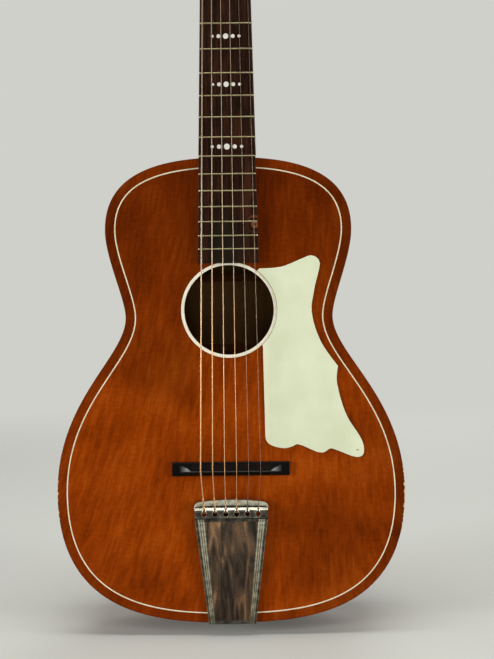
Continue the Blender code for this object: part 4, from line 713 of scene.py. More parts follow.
# Pickguard anchors: across from the straight inner edge, 0, to the widest point, 1, and up from the
# soundhole's centre in lengths of the guard; True is a corner
guard = {"innerX": 0.0322, "width": 0.0980, "length": 0.2010, "front": 0.0015, "back": 0.00004,
        "edge": 0.00045, "clear": 0.0003, "steps": 9, "arcSteps": 61, "spacing": 0.0011}
guardAnchors = (
        (-0.0265, 0.2020, True), (0.1939, 0.2095, False), (0.4153, 0.2512, False), (0.4888, 0.2627, False),
        (0.5551, 0.2502, False), (0.5796, 0.2189, False), (0.5235, 0.0985, False), (0.4959, -0.0149, False),
        (0.5857, -0.1607, False), (0.7541, -0.2806, True), (0.7408, -0.3632, False), (0.8316, -0.5239, False),
        (0.9867, -0.6557, False), (1.0, -0.7239, False), (0.9265, -0.7373, False), (0.7255, -0.7015, False),
        (0.6663, -0.6945, False), (0.6020, -0.7129, False), (0.5327, -0.7100, False),
        (0.3398, -0.6716, False),
        (0.2786, -0.6831, False), (0.2061, -0.6905, False), (0.1200, -0.6840, False),
        (0.0640, -0.6735, False),
        (0.0330, -0.6610, False), (0.0150, -0.6440, False), (0.0110, -0.6250, True), (0.0, -0.1791, True),
        (-0.1755, -0.0647, True), (-0.1755, 0.1343, True))


def evenly(loop, spacing):
    # the same closed line with its points at even distances along it
    closed = np.concatenate((loop, loop[:1]))
    along = np.concatenate(([0], np.cumsum(np.linalg.norm(np.diff(closed, axis=0), axis=1))))
    marks = np.linspace(0, along[-1], round(along[-1] / spacing), endpoint=False)
    return np.column_stack([np.interp(marks, along, closed[:, k]) for k in (0, 1)])


def guardLoop():
    # a cubic curve between neighbouring anchors: its handles are a third of their distance and point along
    # the line past each anchor, and a corner has none
    raw = np.array([anchor[:2] for anchor in guardAnchors])
    down = np.clip(-raw[:, 1] / 0.7, 0, 1)
    raw = raw + np.column_stack((0.0082 + 0.0062 * down, 0.0055 * np.clip((-raw[:, 1] - 0.3) / 0.35, 0, 1)))
    points = np.column_stack((guard["innerX"] + raw[:, 0] * guard["width"],
            body["holeZ"] + raw[:, 1] * guard["length"]))
    slopes = np.roll(points, -1, axis=0) - np.roll(points, 1, axis=0)
    slopes = slopes / np.linalg.norm(slopes, axis=1, keepdims=True)
    slopes[[anchor[2] for anchor in guardAnchors]] = 0
    count = len(points)
    curves = []
    for i in range(count):
        j = (i + 1) % count
        third = np.linalg.norm(points[j] - points[i]) / 3
        ends = (points[i], points[i] + slopes[i] * third, points[j] - slopes[j] * third, points[j])
        steps = guard["steps"] * (5 if guardAnchors[i][2] and guardAnchors[j][2] else 1)
        curves.append(bezier(ends, steps)[:-1])
    loop = np.concatenate(curves)[::-1]
    # the run of points inside the ring gives way to an arc between the two places where the line crosses it
    centre, limit = np.array((0, body["holeZ"])), ring["outer"] + guard["clear"]
    inside = np.linalg.norm(loop - centre, axis=1) < limit
    loop = np.roll(loop, -int(np.argmax(inside & ~np.roll(inside, 1))), axis=0)
    count = int(inside.sum())
    ends = []
    for within, without in ((loop[0], loop[-1]), (loop[count - 1], loop[count])):
        near, far = np.linalg.norm(within - centre), np.linalg.norm(without - centre)
        crossing = within + (without - within) * (limit - near) / (far - near) - centre
        ends.append(math.atan2(crossing[1], crossing[0]))
    angle = np.linspace(*ends, guard["arcSteps"])
    arc = centre + limit * np.column_stack((np.cos(angle), np.sin(angle)))
    return evenly(np.concatenate((arc, loop[count:])), guard["spacing"])


def makePickguard():
    # the outline drawn through its thickness, with the front rim rounded
    loop = guardLoop()
    inset, depth = roundedEdge(guard["edge"], 4)
    rows = [onPlane(loop, -guard["back"])]
    rows += [onPlane(moveInwards(loop, i), d - guard["front"]) for i, d in zip(inset[::-1], depth[::-1])]
    addPiece("pickguardPlate", [gridPart(np.array(rows))], finishes["paleGreenCelluloid"], "root",
            ["pickguard"])
    pin = [(0, 0.0005), (0.0004, 0.00047), (0.0007, 0.0003), (0.0008, 0), (0.0004, -0.0010), (0, -0.0012)]
    addPiece("pickguardPin", [turned(pin, atFace(0.1261, -guard["front"], 0.1730), 16)],
            finishes["machinedBrass"], "root")


def tailHoles():
    # clearance cylinders for the end pin and the two screws, along Z
    spots = [(0, pin["depth"], pin["radius"])] + [(x, screw["depth"],
            screw["radius"]) for x in screw["places"]]
    return [prism(circleLoop(radius + 0.0003, 24, x, y), -0.02, 0.02) for x, y, radius in spots]


def makeSides():
    # a wall that follows half of the outline: four corners at each of its points
    steps = body["curveSteps"]
    loop = bodyOutline()
    outer, inner = moveInwards(loop, body["overhang"]), moveInwards(loop, body["overhang"] + body["rib"])
    front, back = body["plate"] + 0.00002, body["depth"] - body["plate"] - 0.00002
    flare = tenon["rootHalf"] + 0.0012
    for name, side in (("bass", -1), ("treble", 1)):
        keep = slice(0, 4 * steps + 1)
        a, b = outer[keep] * (side, 1), inner[keep] * (side, 1)
        limits = (0.00002, flare)
        a[0, 0] = b[0, 0] = side * limits[0]
        for wall in (a, b):
            cutOff = np.abs(wall[:, 0]) < limits[1]
            high = cutOff & (wall[:, 1] > body["waistZ"])
            wall[high, 0] = side * limits[1]
        grid = np.stack((onPlane(a, front), onPlane(a, back), onPlane(b, back), onPlane(b, front)), axis=1)
        addPiece(f"{name}Rib", [gridPart(grid)], finishes["stainedSide"], "root", [f"{name}_rib"],
                cuts=tailHoles())


def makeBack():
    # two rounded rims on a flat plate, each face closed by one cap
    loop, low, high = bodyOutline(), body["depth"] - body["plate"], body["depth"]
    inset, depth = roundedEdge(body["plateRound"])
    rows = [onPlane(moveInwards(loop, 0.00015), low), onPlane(loop, low + 0.00015)]
    rows += [onPlane(moveInwards(loop, i), high - d) for i, d in zip(inset[::-1], depth[::-1])]
    addPiece("backPlate", [gridPart(np.array(rows))], finishes["stainedBack"], "root", ["back_plate"])


# Neck: fingerboard, frets, dots, neck with headstock, nut

scale = {"length": 0.616, "saddleZ": 0.155, "nutZ": 0.771, "frets": 18}
board = {"nutHalf": 0.0210, "endHalf": 0.0300, "endZ": 0.35910, "thickness": 0.0058, "base": 0.00003,
        "edge": 0.0007}
fret = {"height": 0.0010, "half": 0.00075, "sunk": 0.0003, "endFall": 0.0009, "stations": 25, "around": 11}
dots = {"spaces": (5, 7, 9, 12), "places": (-0.0130, -0.0069, 0, 0.0069, 0.0130),
        "radii": (0.00145, 0.00190, 0.00262, 0.00190, 0.00145), "twelfthGrowth": 1.1, "proud": 0.00006}


def fretZ(number):
    return scale["saddleZ"] + scale["length"] / 2 ** (number / 12)


def boardHalf(z):
    share = (scale["nutZ"] - z) / (scale["nutZ"] - board["endZ"])
    return board["nutHalf"] + (board["endHalf"] - board["nutHalf"]) * share


def makeFingerboard():
    # a section with two rounded shoulders, carried from the soundhole's end up to the nut
    edge, top = board["edge"], board["thickness"]
    inset, depth = roundedEdge(edge, 4)
    rows = []
    for z, dip in ((board["endZ"], 0.0004), (board["endZ"] + 0.0003, 0.0001), (board["endZ"] + 0.0008, 0),
            (scale["nutZ"] - 0.0002, 0)):
        half = boardHalf(z) - dip
        left = np.column_stack((-half + inset[::-1], depth[::-1] - top + dip))
        right = np.column_stack((half - inset, depth - top + dip))
        loop = np.concatenate(([(-half, -board["base"])], left, right, [(half, -board["base"])]))
        rows.append(np.column_stack((loop, np.full(len(loop), z))))
    addPiece("fingerboardWood", [gridPart(np.array(rows))], finishes["stainedBoardWood"], "root",
            ["fingerboard"])


def makeFrets():
    # half an ellipse standing in the board and carried across it; its height falls to the ends in a curve
    turn = np.linspace(0, math.pi, fret["around"])
    across = np.sin(np.linspace(-math.pi / 2, math.pi / 2, fret["stations"]))
    parts = []
    for number in range(1, scale["frets"] + 1):
        z = fretZ(number)
        half = boardHalf(z) - 0.0001
        toEnd = np.clip(half * (1 - np.abs(across)) / fret["endFall"], 0, 1)
        height = (fret["height"] * np.sqrt(1 - (1 - toEnd) ** 2))[:, None]
        y = -board["thickness"] - height * np.sin(turn) ** 0.8
        y[:, [0, -1]] = -board["thickness"] + fret["sunk"]
        grid = np.stack((half * across[:, None] + 0 * y, y, z + fret["half"] * np.cos(turn) + 0 * y), axis=-1)
        parts.append(gridPart(grid))
    addPiece("fretWires", parts, finishes["fretBrass"], "root", ["fingerboard"], smooth=50)


def makeDots():
    parts = []
    for space in dots["spaces"]:
        z = (fretZ(space) + fretZ(space - 1)) / 2
        grow = dots["twelfthGrowth"] if space == 12 else 1
        for x, radius in zip(dots["places"], dots["radii"]):
            r, high = radius * grow, dots["proud"]
            profile = [(0, high), (r * 0.55, high * 0.9), (r * 0.93, high * 0.6), (r, 0.00001), (r, -0.0006),
                    (0, -0.0006)]
            parts.append(turned(profile, atFace(x * grow, -board["thickness"], z), 28))
    addPiece("pearlDots", parts, finishes["pearlDisc"], "root", ["fingerboard"])


neck = {"heelDepth": 0.0830, "capReach": 0.0170, "capHalf": 0.0120, "sweep": 0.0620, "thickHeel": 0.0195,
        "thickNut": 0.0150, "spare": 0.0005, "heelSteps": 48, "neckSteps": 24, "columns": 48,
        "jointShare": 0.6, "flare": 1.3, "heelPower": 1.9, "neckPower": 2.2}
head = {"angle": math.radians(14), "base": 0.7763, "length": 0.136, "thickness": 0.0150, "shoulder": 0.026,
        "lowHalf": 0.031, "topHalf": 0.034, "crest": 0.0070, "edge": 0.0009, "steps": 40,
        "squaring": ((0, 2.6), (0.23, 3.2), (0.46, 5), (0.73, 9), (1.0, 14))}
headPlace = Matrix.Translation((0, 0, head["base"])) @ Matrix((
        (1, 0, 0, 0), (0, math.sin(head["angle"]), -math.cos(head["angle"]), 0),
        (0, math.cos(head["angle"]), math.sin(head["angle"]), 0), (0, 0, 0, 1)))


def dRing(half, depth, power, edge):
    # a D section: across runs -1 to 1 as a sine, the back is depth * (1 - |across|^power)^(1/power) and
    # the front is flat with its two edges rounded off by a quarter circle
    across = np.sin(np.linspace(-math.pi / 2, math.pi / 2, neck["columns"] + 1))
    x = across * half
    back = edge + (depth - edge) * (1 - np.abs(across) ** power) ** (1 / power)
    over = np.clip((np.abs(x) - (half - edge)) / max(edge, 1e-9), 0, 1) if edge else 0 * x
    front = edge * (1 - np.sqrt(1 - over ** 2))
    return x, back, front


def ladderCap(row, columns, first):
    # closes an end with strips between its front and back lines
    j = np.arange(1, columns - 1)
    total = 2 * columns
    faces = np.stack((j, j + 1, total - j - 1, total - j), axis=1) + first
    ends = [np.array([0, 1, total - 1]) + first, np.array([columns - 1, columns, columns + 1]) + first]
    return faces, ends


def makeNeck():
    joint, sweepEnd = tenon["jointZ"], tenon["jointZ"] + neck["sweep"]
    jointHalf = boardHalf(joint) + neck["spare"]
    curve = bezier(((neck["heelDepth"], joint + neck["capReach"]),
            (neck["heelDepth"] * 0.62, joint + neck["capReach"]),
            (neck["thickHeel"], sweepEnd - neck["sweep"] * 0.6), (neck["thickHeel"], sweepEnd)),
            neck["heelSteps"])
    sections = []
    for i, (y, z) in enumerate(curve):
        share = i / neck["heelSteps"]
        turn = share / neck["jointShare"]
        if turn < 1:
            rail = np.array((neck["heelDepth"] * (1 - turn), joint))
            half = neck["capHalf"] + (jointHalf - neck["capHalf"]) * turn ** neck["flare"]
        else:
            past = (share - neck["jointShare"]) / (1 - neck["jointShare"])
            rail = np.array((0, joint + neck["sweep"] * past))
            half = boardHalf(rail[1]) + neck["spare"]
        sections.append((rail, np.array((y, z)), half,
                neck["heelPower"] + (neck["neckPower"] - neck["heelPower"]) * share))
    for share in np.linspace(0, 1, neck["neckSteps"] + 1)[1:]:
        z = sweepEnd + (scale["nutZ"] - sweepEnd) * share
        thick = neck["thickHeel"] + (neck["thickNut"] - neck["thickHeel"]) * share
        sections.append((np.array((0, z)), np.array((thick, z)), boardHalf(z) + neck["spare"],
                neck["neckPower"]))
    rows = []
    for rail, centre, half, power in sections:
        x, back, front = dRing(half, 1.0, power, 0)
        line = rail + (centre - rail) * back[:, None]
        behind = np.column_stack((x, line))
        before = np.column_stack((x[::-1], np.tile(rail, (len(x), 1))))
        rows.append(np.concatenate((behind, before[1:-1])))
    turn, top = np.array(headPlace.to_3x3()), np.array(headPlace.translation)
    shares, powers = np.array(head["squaring"]).T
    nutHalf = boardHalf(scale["nutZ"]) + neck["spare"]
    for a in np.concatenate((np.linspace(0, head["shoulder"], 22),
            np.linspace(head["shoulder"], head["length"], head["steps"])[1:])):
        power = np.interp(a / head["shoulder"], shares, powers)
        climb = (a - head["shoulder"]) / (head["length"] - head["shoulder"])
        half = (nutHalf + (head["lowHalf"] - nutHalf) * (1 - math.cos(math.pi * a / head["shoulder"])) / 2
                if climb < 0 else head["lowHalf"] + (head["topHalf"] - head["lowHalf"]) * climb)
        edge = head["edge"] * min(1, a / 0.004)
        x, back, front = dRing(half, head["thickness"], power, edge)
        arch = a - head["crest"] * (x / head["topHalf"]) ** 2 * max(0, climb) ** 3
        behind = np.column_stack((x, arch, -back))
        before = np.column_stack((x, arch, -front))[::-1]
        rows.append(np.concatenate((behind, before[1:-1])) @ turn.T + top)
    grid = np.array(rows)
    points, faces, caps = gridPart(grid, capped=False)
    lowFaces, lowEnds = ladderCap(0, neck["columns"], 0)
    highFaces, highEnds = ladderCap(0, neck["columns"], (len(rows) - 1) * grid.shape[1])
    whole = (points, np.concatenate((faces, lowFaces, highFaces)), lowEnds + highEnds)
    dovetail = slab(tenonLoop(0, tenon["jointZ"] + 0.004), tenon["front"], tenon["back"])
    holes = [prism(circleLoop(post["radius"] + 0.0003, 32, side * post["side"], a), -0.03, 0.01, headPlace)
            for side, a in postPlaces()]
    addPiece("neckWood", [whole, dovetail], finishes["stainedNeckWood"], "root", ["neck"],
            cuts=holes)


nut = {"length": 0.0050, "half": 0.0210, "top": 0.0081, "backSlope": math.radians(17), "edge": 0.0004}


def stringX(number, pitch):
    return (number - 2.5) * pitch


def slotHeights(x, top, pitch, level):
    # the top's height at each x, lowered to the underside of each string where one crosses
    height = np.full(len(x), top)
    for number, diameter in enumerate(strings["diameters"]):
        reach = diameter / 2 + 0.00004
        offset = np.clip(np.abs(x - stringX(number, pitch)), 0, reach)
        inside = np.abs(x - stringX(number, pitch)) < reach
        height = np.where(inside, np.minimum(height, level - np.sqrt(reach ** 2 - offset ** 2)), height)
    return height


def crossings(base, pitch):
    # stations along X: the given ones, and close ones wherever a string crosses
    near = [stringX(n, pitch) + (d / 2 + 0.00004) * np.array((-1.001, -0.999, -0.85, -0.6, -0.3, 0, 0.3, 0.6,
            0.85, 0.999, 1.001))
            for n, d in enumerate(strings["diameters"])]
    return np.unique(np.concatenate([base] + near))


def makeNut():
    # a bar whose top slopes back, with a round-bottomed slot for each string
    front, back, edge = scale["nutZ"], scale["nutZ"] + nut["length"], nut["edge"]
    x = crossings(np.array((-nut["half"], -nut["half"] + 0.0005, nut["half"] - 0.0005, nut["half"])),
            strings["nutPitch"])
    high = slotHeights(x, nut["top"], strings["nutPitch"], strings["atNut"])
    ends = np.abs(np.abs(x) - nut["half"]) < 1e-6
    high = high - np.where(ends, 0.0005, 0)
    fall = math.tan(nut["backSlope"])
    section = [(front, 0 * high + 0.0002), (front, high - edge), (front + edge * 0.4, high - edge * 0.25),
            (front + edge, high - edge * fall), (back - edge, high - (nut["length"] - edge) * fall),
            (back, high - nut["length"] * fall - edge), (back, 0 * high + 0.0002)]
    grid = np.stack([np.column_stack((x, -height, np.full(len(x), z))) for z, height in section], axis=1)
    addPiece("boneNut", [gridPart(grid)], finishes["polishedBone"], "root", ["nut"])


# Bridge, tailpiece and tail fixings

bridge = {"half": 0.0582, "front": 0.0073, "back": 0.0064, "foot": 0.0036, "ridgeHalf": 0.03925,
        "scoop": 0.0118, "ridge": 0.0014, "top": 0.0118, "edge": 0.0004}


def makeBridge():
    # sections across the bridge: upright edges, two falls and a ridge whose height drops through a quarter
    # circle to the foot at each end
    ends = np.linspace(0, 1, 22)
    right = np.concatenate((bridge["ridgeHalf"] + bridge["scoop"] * ends ** 1.5,
            bridge["half"] - bridge["edge"] * (1 - np.sin(np.linspace(0, math.pi / 2, 5))) + 1e-6))
    x = crossings(np.concatenate((-right, right)), strings["bridgePitch"])
    share = np.clip((np.abs(x) - bridge["ridgeHalf"]) / bridge["scoop"], 0, 1)
    foot, gone = bridge["foot"], np.clip((np.abs(x) - bridge["half"] + bridge["edge"]) / bridge["edge"], 0, 1)
    low = foot - bridge["edge"] * (1 - np.sqrt(1 - gone ** 2))
    ridge = foot + (bridge["top"] - foot) * (1 - np.sqrt(1 - (1 - share) ** 2))
    ridge = np.minimum(ridge, low + (bridge["top"] - foot) * (gone < 1))
    slots = slotHeights(x, 1.0, strings["bridgePitch"], strings["atSaddle"])
    ridge = np.minimum(ridge, slots)
    top = ridge - 0.0001
    fall = np.maximum(ridge * 0.72, low)
    hollow = 0.5 * (low + top) - 0.12 * (top - low)
    front, back, half = bridge["front"], bridge["back"], bridge["ridge"]
    section = [(front, 0 * x + 0.00003), (front, low - 0.0009), (front - 0.0001, low - 0.0004),
            (front - 0.0005, low),
            (front - 0.0012, low + (top - low) * 0.02), (front * 0.62, np.maximum(hollow, low)),
            (half + 0.0004, ridge - (ridge - low) * 0.10), (half, top), (half * 0.6, ridge),
            (-half * 0.6, ridge),
            (-half, top), (-back * 0.72, fall), (-back + 0.0003, low * 0.8), (-back, low * 0.68),
            (-back, 0 * x + 0.00003)]
    grid = np.stack([np.column_stack((x, -height, np.full(len(x), scale["saddleZ"] + z))) for z,
            height in section], axis=1)
    addPiece("bridgeWood", [gridPart(grid)], finishes["bridgeWoodPaintedHighlight"], "root", ["bridge"],
            smooth=30)


tail = {"sheet": 0.0010, "legLength": 0.058, "legHalf": 0.015, "rimHalf": 0.0235, "topHalf": 0.03625,
        "bend": 0.0025,
        "face": -0.0008, "bendZ": 0.1066, "base": 0.0060, "roll": 0.0030, "rollLength": 0.0192,
        "crown": 0.0030, "corner": 0.0044, "lip": 0.0056, "crestAt": 0.35, "valleyAt": 0.67, "valley": 0.0066,
        "beadInset": 0.0026, "beadWidth": 0.0068, "beadHeight": 0.0006, "ridges": 3,
        "keyZ": 0.1118, "keyRadius": 0.00265, "slotZ": 0.1175, "pitch": 0.0107, "slotHalf": 0.00075,
        "rimWire": 0.00028,
        "cornerPower": 30, "valleyTone": 0.38, "beadTone": 0.88, "rimTone": 0.33, "lowShare": 0.55,
        "rollHighlightsAndShade": ((0, 0.12), (0.03, 0.15), (0.08, 0.55), (0.14, 0.35), (0.36, 0.35), (0.46, 0.5),
        (0.49, 1.0),
        (0.56, 1.0), (0.60, 0.3), (0.64, 0.15), (0.68, 0.25), (0.72, 0.8), (0.95, 0.95), (1.0, 0.3))}


def rollHeight(v):
    # the roll from the bend, 0, to its outer end, 1: a quarter sine up to the crest, half a cosine down
    # into a
    # valley and then a flange that drops off a little to its lip
    s = tail
    up = s["base"] + s["roll"] * np.sin(math.pi / 2 * np.clip(v / s["crestAt"], 0, 1))
    fall = np.clip((v - s["crestAt"]) / (s["valleyAt"] - s["crestAt"]), 0, 1)
    down = (s["base"] + s["roll"] - s["valley"]) * (1 - np.cos(math.pi * fall)) / 2
    return up - down - (s["valley"] - s["lip"]) * np.clip((v - s["valleyAt"]) / (1 - s["valleyAt"]), 0,
            1) ** 1.5


def tailRows():
    # the sheet's middle surface below the roll: half width, depth, height, bead strength, panel strength
    s = tail
    rows = [(s["legHalf"] * w, s["legLength"] - d, s["face"], 0, 0) for d, w in
            ((0, 0.50), (0.0006, 0.68), (0.0018, 0.84), (0.0035, 0.94), (0.006, 1.0), (0.012, 1.0))]
    share = np.linspace(0, 1, 12)
    width = s["legHalf"] + (s["rimHalf"] - s["legHalf"]) * (1 - np.cos(math.pi * share)) / 2
    rows += [(w, 0.024 * (1 - t), s["face"], 0, 0) for t, w in zip(share, width)]
    for turn in np.linspace(0, math.pi / 2, 9)[1:-1]:
        rows.append((s["rimHalf"], -s["bend"] * math.sin(turn), s["face"] + s["bend"] * (1 - math.cos(turn)),
                0, 0))
    startZ = s["face"] + s["bend"]
    for z in np.concatenate(([startZ], np.linspace(0.0036, 0.0070, 7), np.linspace(0.012, 0.096, 20),
            np.linspace(0.0985, s["bendZ"] - 0.0006, 13))):
        t = (z - startZ) / (s["bendZ"] - startZ)
        low = np.clip((z - 0.0034) / 0.003, 0, 1)
        high = np.clip((s["bendZ"] - 0.0022 - z) / 0.003, 0, 1)
        strength = float(low * low * (3 - 2 * low) * high * high * (3 - 2 * high))
        panel = float(np.clip((z - 0.0028) / 0.0015, 0, 1) * np.clip((s["bendZ"] - 0.0024 - z) / 0.0012, 0,
                1))
        rows.append((s["rimHalf"] + (s["topHalf"] - s["rimHalf"]) * t,
                -s["bend"] - (s["base"] - s["bend"]) * t, z,
                strength, panel))
    return rows


def makeTailpiece():
    # plate rows spread a grid of shares t from -1 to 1 over their width; a share keeps its place in the
    # beads, which are sine-squared ridges; roll rows climb to a crest, turn down to the lip and follow
    # an arched end with round corners; the sheet is that surface moved half its thickness each way
    s = tail
    edgeShare = 1 - (s["beadInset"] + s["beadWidth"] * np.linspace(0, 1, 37)) / s["topHalf"]
    border = 1 - (1 - edgeShare.max()) * np.linspace(0, 1, 16) ** 2
    right = np.unique(np.concatenate((edgeShare, np.linspace(0, edgeShare.min(), 24), border)))
    t = np.concatenate((-right[:0:-1], right))
    inBead = (s["topHalf"] * (1 - np.abs(t)) - s["beadInset"]) / s["beadWidth"]
    ridges = np.where((inBead > 0) & (inBead < 1),
            np.sin(math.pi * s["ridges"] * np.clip(inBead, 0, 1)) ** 2, 0)
    grid, tones, hollows = [], [], []
    for half, y, z, strength, panel in tailRows():
        grid.append(np.column_stack((t * half, y - strength * s["beadHeight"] * ridges, np.full(len(t), z))))
        inPanel = panel * np.clip((inBead - 0.98) / 0.04, 0, 1)
        hollows.append(inPanel)
        # the beads' painted highlights dim towards the tail
        worn = s["lowShare"] + (1 - s["lowShare"]) * np.clip(z / s["bendZ"], 0, 1)
        # painted highlight on the beads' ridges, painted shade and tarnish in their valleys, and a thin
        # painted highlight along the sheet's outer edge
        bead = np.where((inBead > 0) & (inBead < 1),
                s["valleyTone"] + (s["beadTone"] - s["valleyTone"]) * ridges * worn,
                s["rimTone"] + 0.4 * np.clip((np.abs(t) - 0.985) / 0.015, 0, 1))
        tones.append(bead)
    top = s["rollLength"] - s["crown"] * t ** 2 - s["corner"] * np.abs(t) ** s["cornerPower"]
    for v in np.linspace(0, 1, 61):
        height = float(rollHeight(v))
        # below the crest every row is level; past it the rows bend into the arched end
        level = s["rollLength"] * v
        past = max(0, (v - 0.5) / 0.5)
        grid.append(np.column_stack((t * s["topHalf"], np.full(len(t), -height),
                s["bendZ"] + level - (s["rollLength"] - top) * past ** 1.3)))
        # painted along the roll: a highlight band past the crest, a line of shade before the flange, and a
        # pale flange
        tones.append(np.full(len(t), np.interp(v, *zip(*s["rollHighlightsAndShade"]))))
        hollows.append(np.zeros(len(t)))
    middle = np.array(grid)
    normal = np.cross(np.gradient(middle, axis=0), np.gradient(middle, axis=1))
    normal /= np.linalg.norm(normal, axis=2, keepdims=True)
    rows, columns = middle.shape[:2]
    half = s["sheet"] / 2
    sheets = [middle + normal * half, middle - normal * half]
    points = np.concatenate([sheet.reshape(-1, 3) for sheet in sheets])
    faces = gridFaces(rows, columns)
    rim = np.concatenate((np.arange(columns), np.arange(2, rows + 1) * columns - 1,
            rows * columns - 2 - np.arange(columns - 1), np.arange(rows - 2, 0, -1) * columns))
    after = np.roll(rim, -1)
    wall = np.stack((rim, after, after + rows * columns, rim + rows * columns), axis=1)
    part = (points, np.concatenate((faces, faces + rows * columns, wall)), [])
    cuts = tailHoles() + [slabOf(keyholeLoop(stringX(n, s["pitch"]))) for n in range(6)]
    addPiece("tailpiecePlate", [part], finishes["agedNickelPlate"], "root", ["tailpiece"],
            {"paintedLightAndTarnishTone": np.tile(np.array(tones).ravel(), 2),
            "hollow": np.tile(np.array(hollows).ravel(), 2)}, cuts,
            smooth=40)


def keyholeLoop(x, spare=0.0):
    # a round hole that narrows upwards between two tangents into a slot
    slot, radius = tail["slotHalf"] + spare, tail["keyRadius"] + spare
    neckZ = tail["keyZ"] + 1.75 * tail["keyRadius"]
    reach = math.hypot(slot, neckZ - tail["keyZ"])
    start = math.atan2(neckZ - tail["keyZ"], slot) - math.acos(radius / reach)
    turn = np.linspace(math.pi - start, 2 * math.pi + start, 25)
    end = np.linspace(0, math.pi, 7)
    arc = np.column_stack((x + radius * np.cos(turn), tail["keyZ"] + radius * np.sin(turn)))
    tip = np.column_stack((x + slot * np.cos(end), tail["slotZ"] + slot * np.sin(end)))
    return np.concatenate(([(x + slot, neckZ)], tip, [(x - slot, neckZ)], arc))


def makeKeyholeRims():
    # a thin bright lip round each keyhole: a small circle carried along the hole's edge on the roll's face
    parts = []
    for number in range(6):
        loop = evenly(keyholeLoop(stringX(number, tail["pitch"]), tail["rimWire"] * 0.4), 0.0005)
        face = rollHeight((loop[:, 1] - tail["bendZ"]) / tail["rollLength"]) + tail["sheet"] / 2
        path = np.column_stack((loop[:, 0], -face, loop[:, 1]))
        closed = np.concatenate((path[-1:], path, path[:1]))
        # the lip is fullest beside the slot and thins out round the bottom of the hole
        high = np.clip((closed[:, 2] - tail["keyZ"] + tail["keyRadius"]) / (2 * tail["keyRadius"]), 0, 1)
        tube = sweptTube(closed, tail["rimWire"] * (0.45 + 0.55 * high),
                np.tile((0, -1, 0), (len(closed), 1)), 8)[0]
        parts.append(gridPart(tube.reshape(len(closed), 8, 3)[1:-1], wrapRows=True))
    addPiece("keyholeRims", parts, finishes["agedNickelTuner"], "root")


def slabOf(loop):
    return slab(loop, -0.02, -0.0005)


pin = {"depth": 0.045, "radius": 0.0034, "tip": 0.0030, "stem": 0.0150, "head": 0.0058, "headLength": 0.0105,
        "seat": -0.0016}
screw = {"depth": 0.0150, "places": (-0.011, 0.011), "radius": 0.0014, "head": 0.0030, "headHeight": 0.0016,
        "length": 0.0120, "slot": 0.0003}


def makeTailFixings():
    # a turned pin: button head, waist, collar and tapered stem; round-headed screws with a slot
    r, long = pin["head"], pin["headLength"]
    share = np.linspace(0, math.pi / 2, 9)
    knob = [(r * math.sin(a), -long * (0.66 + 0.34 * math.cos(a))) for a in share]
    profile = knob + [(r * 0.93, -long * 0.50), (r * 0.80, -long * 0.40), (r * 0.70, -long * 0.27),
            (r * 0.72, -long * 0.17),
            (r * 0.93, -long * 0.10), (r * 0.95, 0), (pin["radius"], 0), (pin["tip"], pin["stem"]),
            (0, pin["stem"])]
    addPiece("endPin", [turned(profile, Matrix.Translation((0, pin["depth"], pin["seat"])), 40)],
            finishes["ebonisedWood"], "root", ["end_pin"])
    for i, x in enumerate(screw["places"], 1):
        place = Matrix.Translation((x, screw["depth"], pin["seat"] + 0.0003))
        addPiece(f"tailScrew{i}", [screwShape(screw["head"], screw["headHeight"], screw["radius"],
                screw["length"], place)],
                finishes["agedNickelTuner"], "root", [f"tailpiece_screw_{i}"],
                cuts=[screwSlot(screw["head"], screw["headHeight"], place, 0.4 + i)])


def screwShape(head, high, shank, length, place):
    # a domed head towards local -Z and a pointed shank towards +Z
    turn = np.linspace(0, math.pi / 2, 6)
    dome = [(head * math.sin(a), -high * math.cos(a)) for a in turn]
    return turned(dome + [(shank, 0), (shank, length * 0.7), (0, length)], place, 24)


def screwSlot(head, high, place, turn):
    half, wide = head * 1.3, head * 0.13
    loop = np.array([(-half, -wide), (half, -wide), (half, wide), (-half, wide)])
    return prism(loop, -high * 1.5, -high * 0.45, place @ Matrix.Rotation(turn, 4, "Z"))


# Strings

strings = {"names": ("e_low", "a", "d", "g", "b", "e_high"), "turns": (2, 2, 2, 2, 3, 3), "wound": 4,
        "diameters": (0.00135, 0.00107, 0.00081, 0.00062, 0.00041, 0.00032),
        "nutPitch": 0.0077, "bridgePitch": 0.0118, "atSaddle": 0.0120, "atNut": 0.0079, "sides": 10,
        "turnPoints": 32, "gapToPost": 0.0005, "gapBetween": 0.00055, "lowOnPost": 0.0042, "cutEnd": 0.0030,
        "ball": 0.0019, "ballThick": 0.0014, "wrapLength": 0.0125, "wrapTurns": 11, "softBend": 0.0022}


def unitRows(rows):
    return rows / np.linalg.norm(rows, axis=1, keepdims=True)


def softened(points, reach, steps=5):
    # each inner corner of a path replaced by a parabola that starts and ends on its two sides
    before, corner, after = points[:-2], points[1:-1], points[2:]
    back, on = before - corner, after - corner
    shareBack = np.minimum(reach / np.linalg.norm(back, axis=1), 0.45)[:, None]
    shareOn = np.minimum(reach / np.linalg.norm(on, axis=1), 0.45)[:, None]
    t = np.linspace(0, 1, steps)[None, :, None]
    start, end = (corner + back * shareBack)[:, None], (corner + on * shareOn)[:, None]
    arcs = start * (1 - t) ** 2 + 2 * corner[:, None] * t * (1 - t) + end * t * t
    return np.concatenate((points[:1], arcs.reshape(-1, 3), points[-1:]))


def leadPath(number):
    # from the ball end under the roll, out of the slot, over the saddle and to the nut
    crest = tail["base"] + tail["roll"] + tail["sheet"] / 2
    radius = strings["diameters"][number] / 2
    tailX, saddleX, nutX = (stringX(number, pitch) for pitch in (tail["pitch"], strings["bridgePitch"],
            strings["nutPitch"]))
    slot = tail["slotZ"]
    lipHeight = float(rollHeight((slot - 0.0010 - tail["bendZ"]) / tail["rollLength"])) + tail["sheet"] / 2
    return np.array([(tailX, -(crest - 0.0046), slot - 0.0039), (tailX, -(crest - 0.0030), slot - 0.0036),
            (tailX, -(crest - 0.0012), slot - 0.0029), (tailX, -(lipHeight + radius + 0.0002), slot - 0.0010),
            (saddleX, -strings["atSaddle"], scale["saddleZ"]), (nutX, -strings["atNut"], scale["nutZ"])])


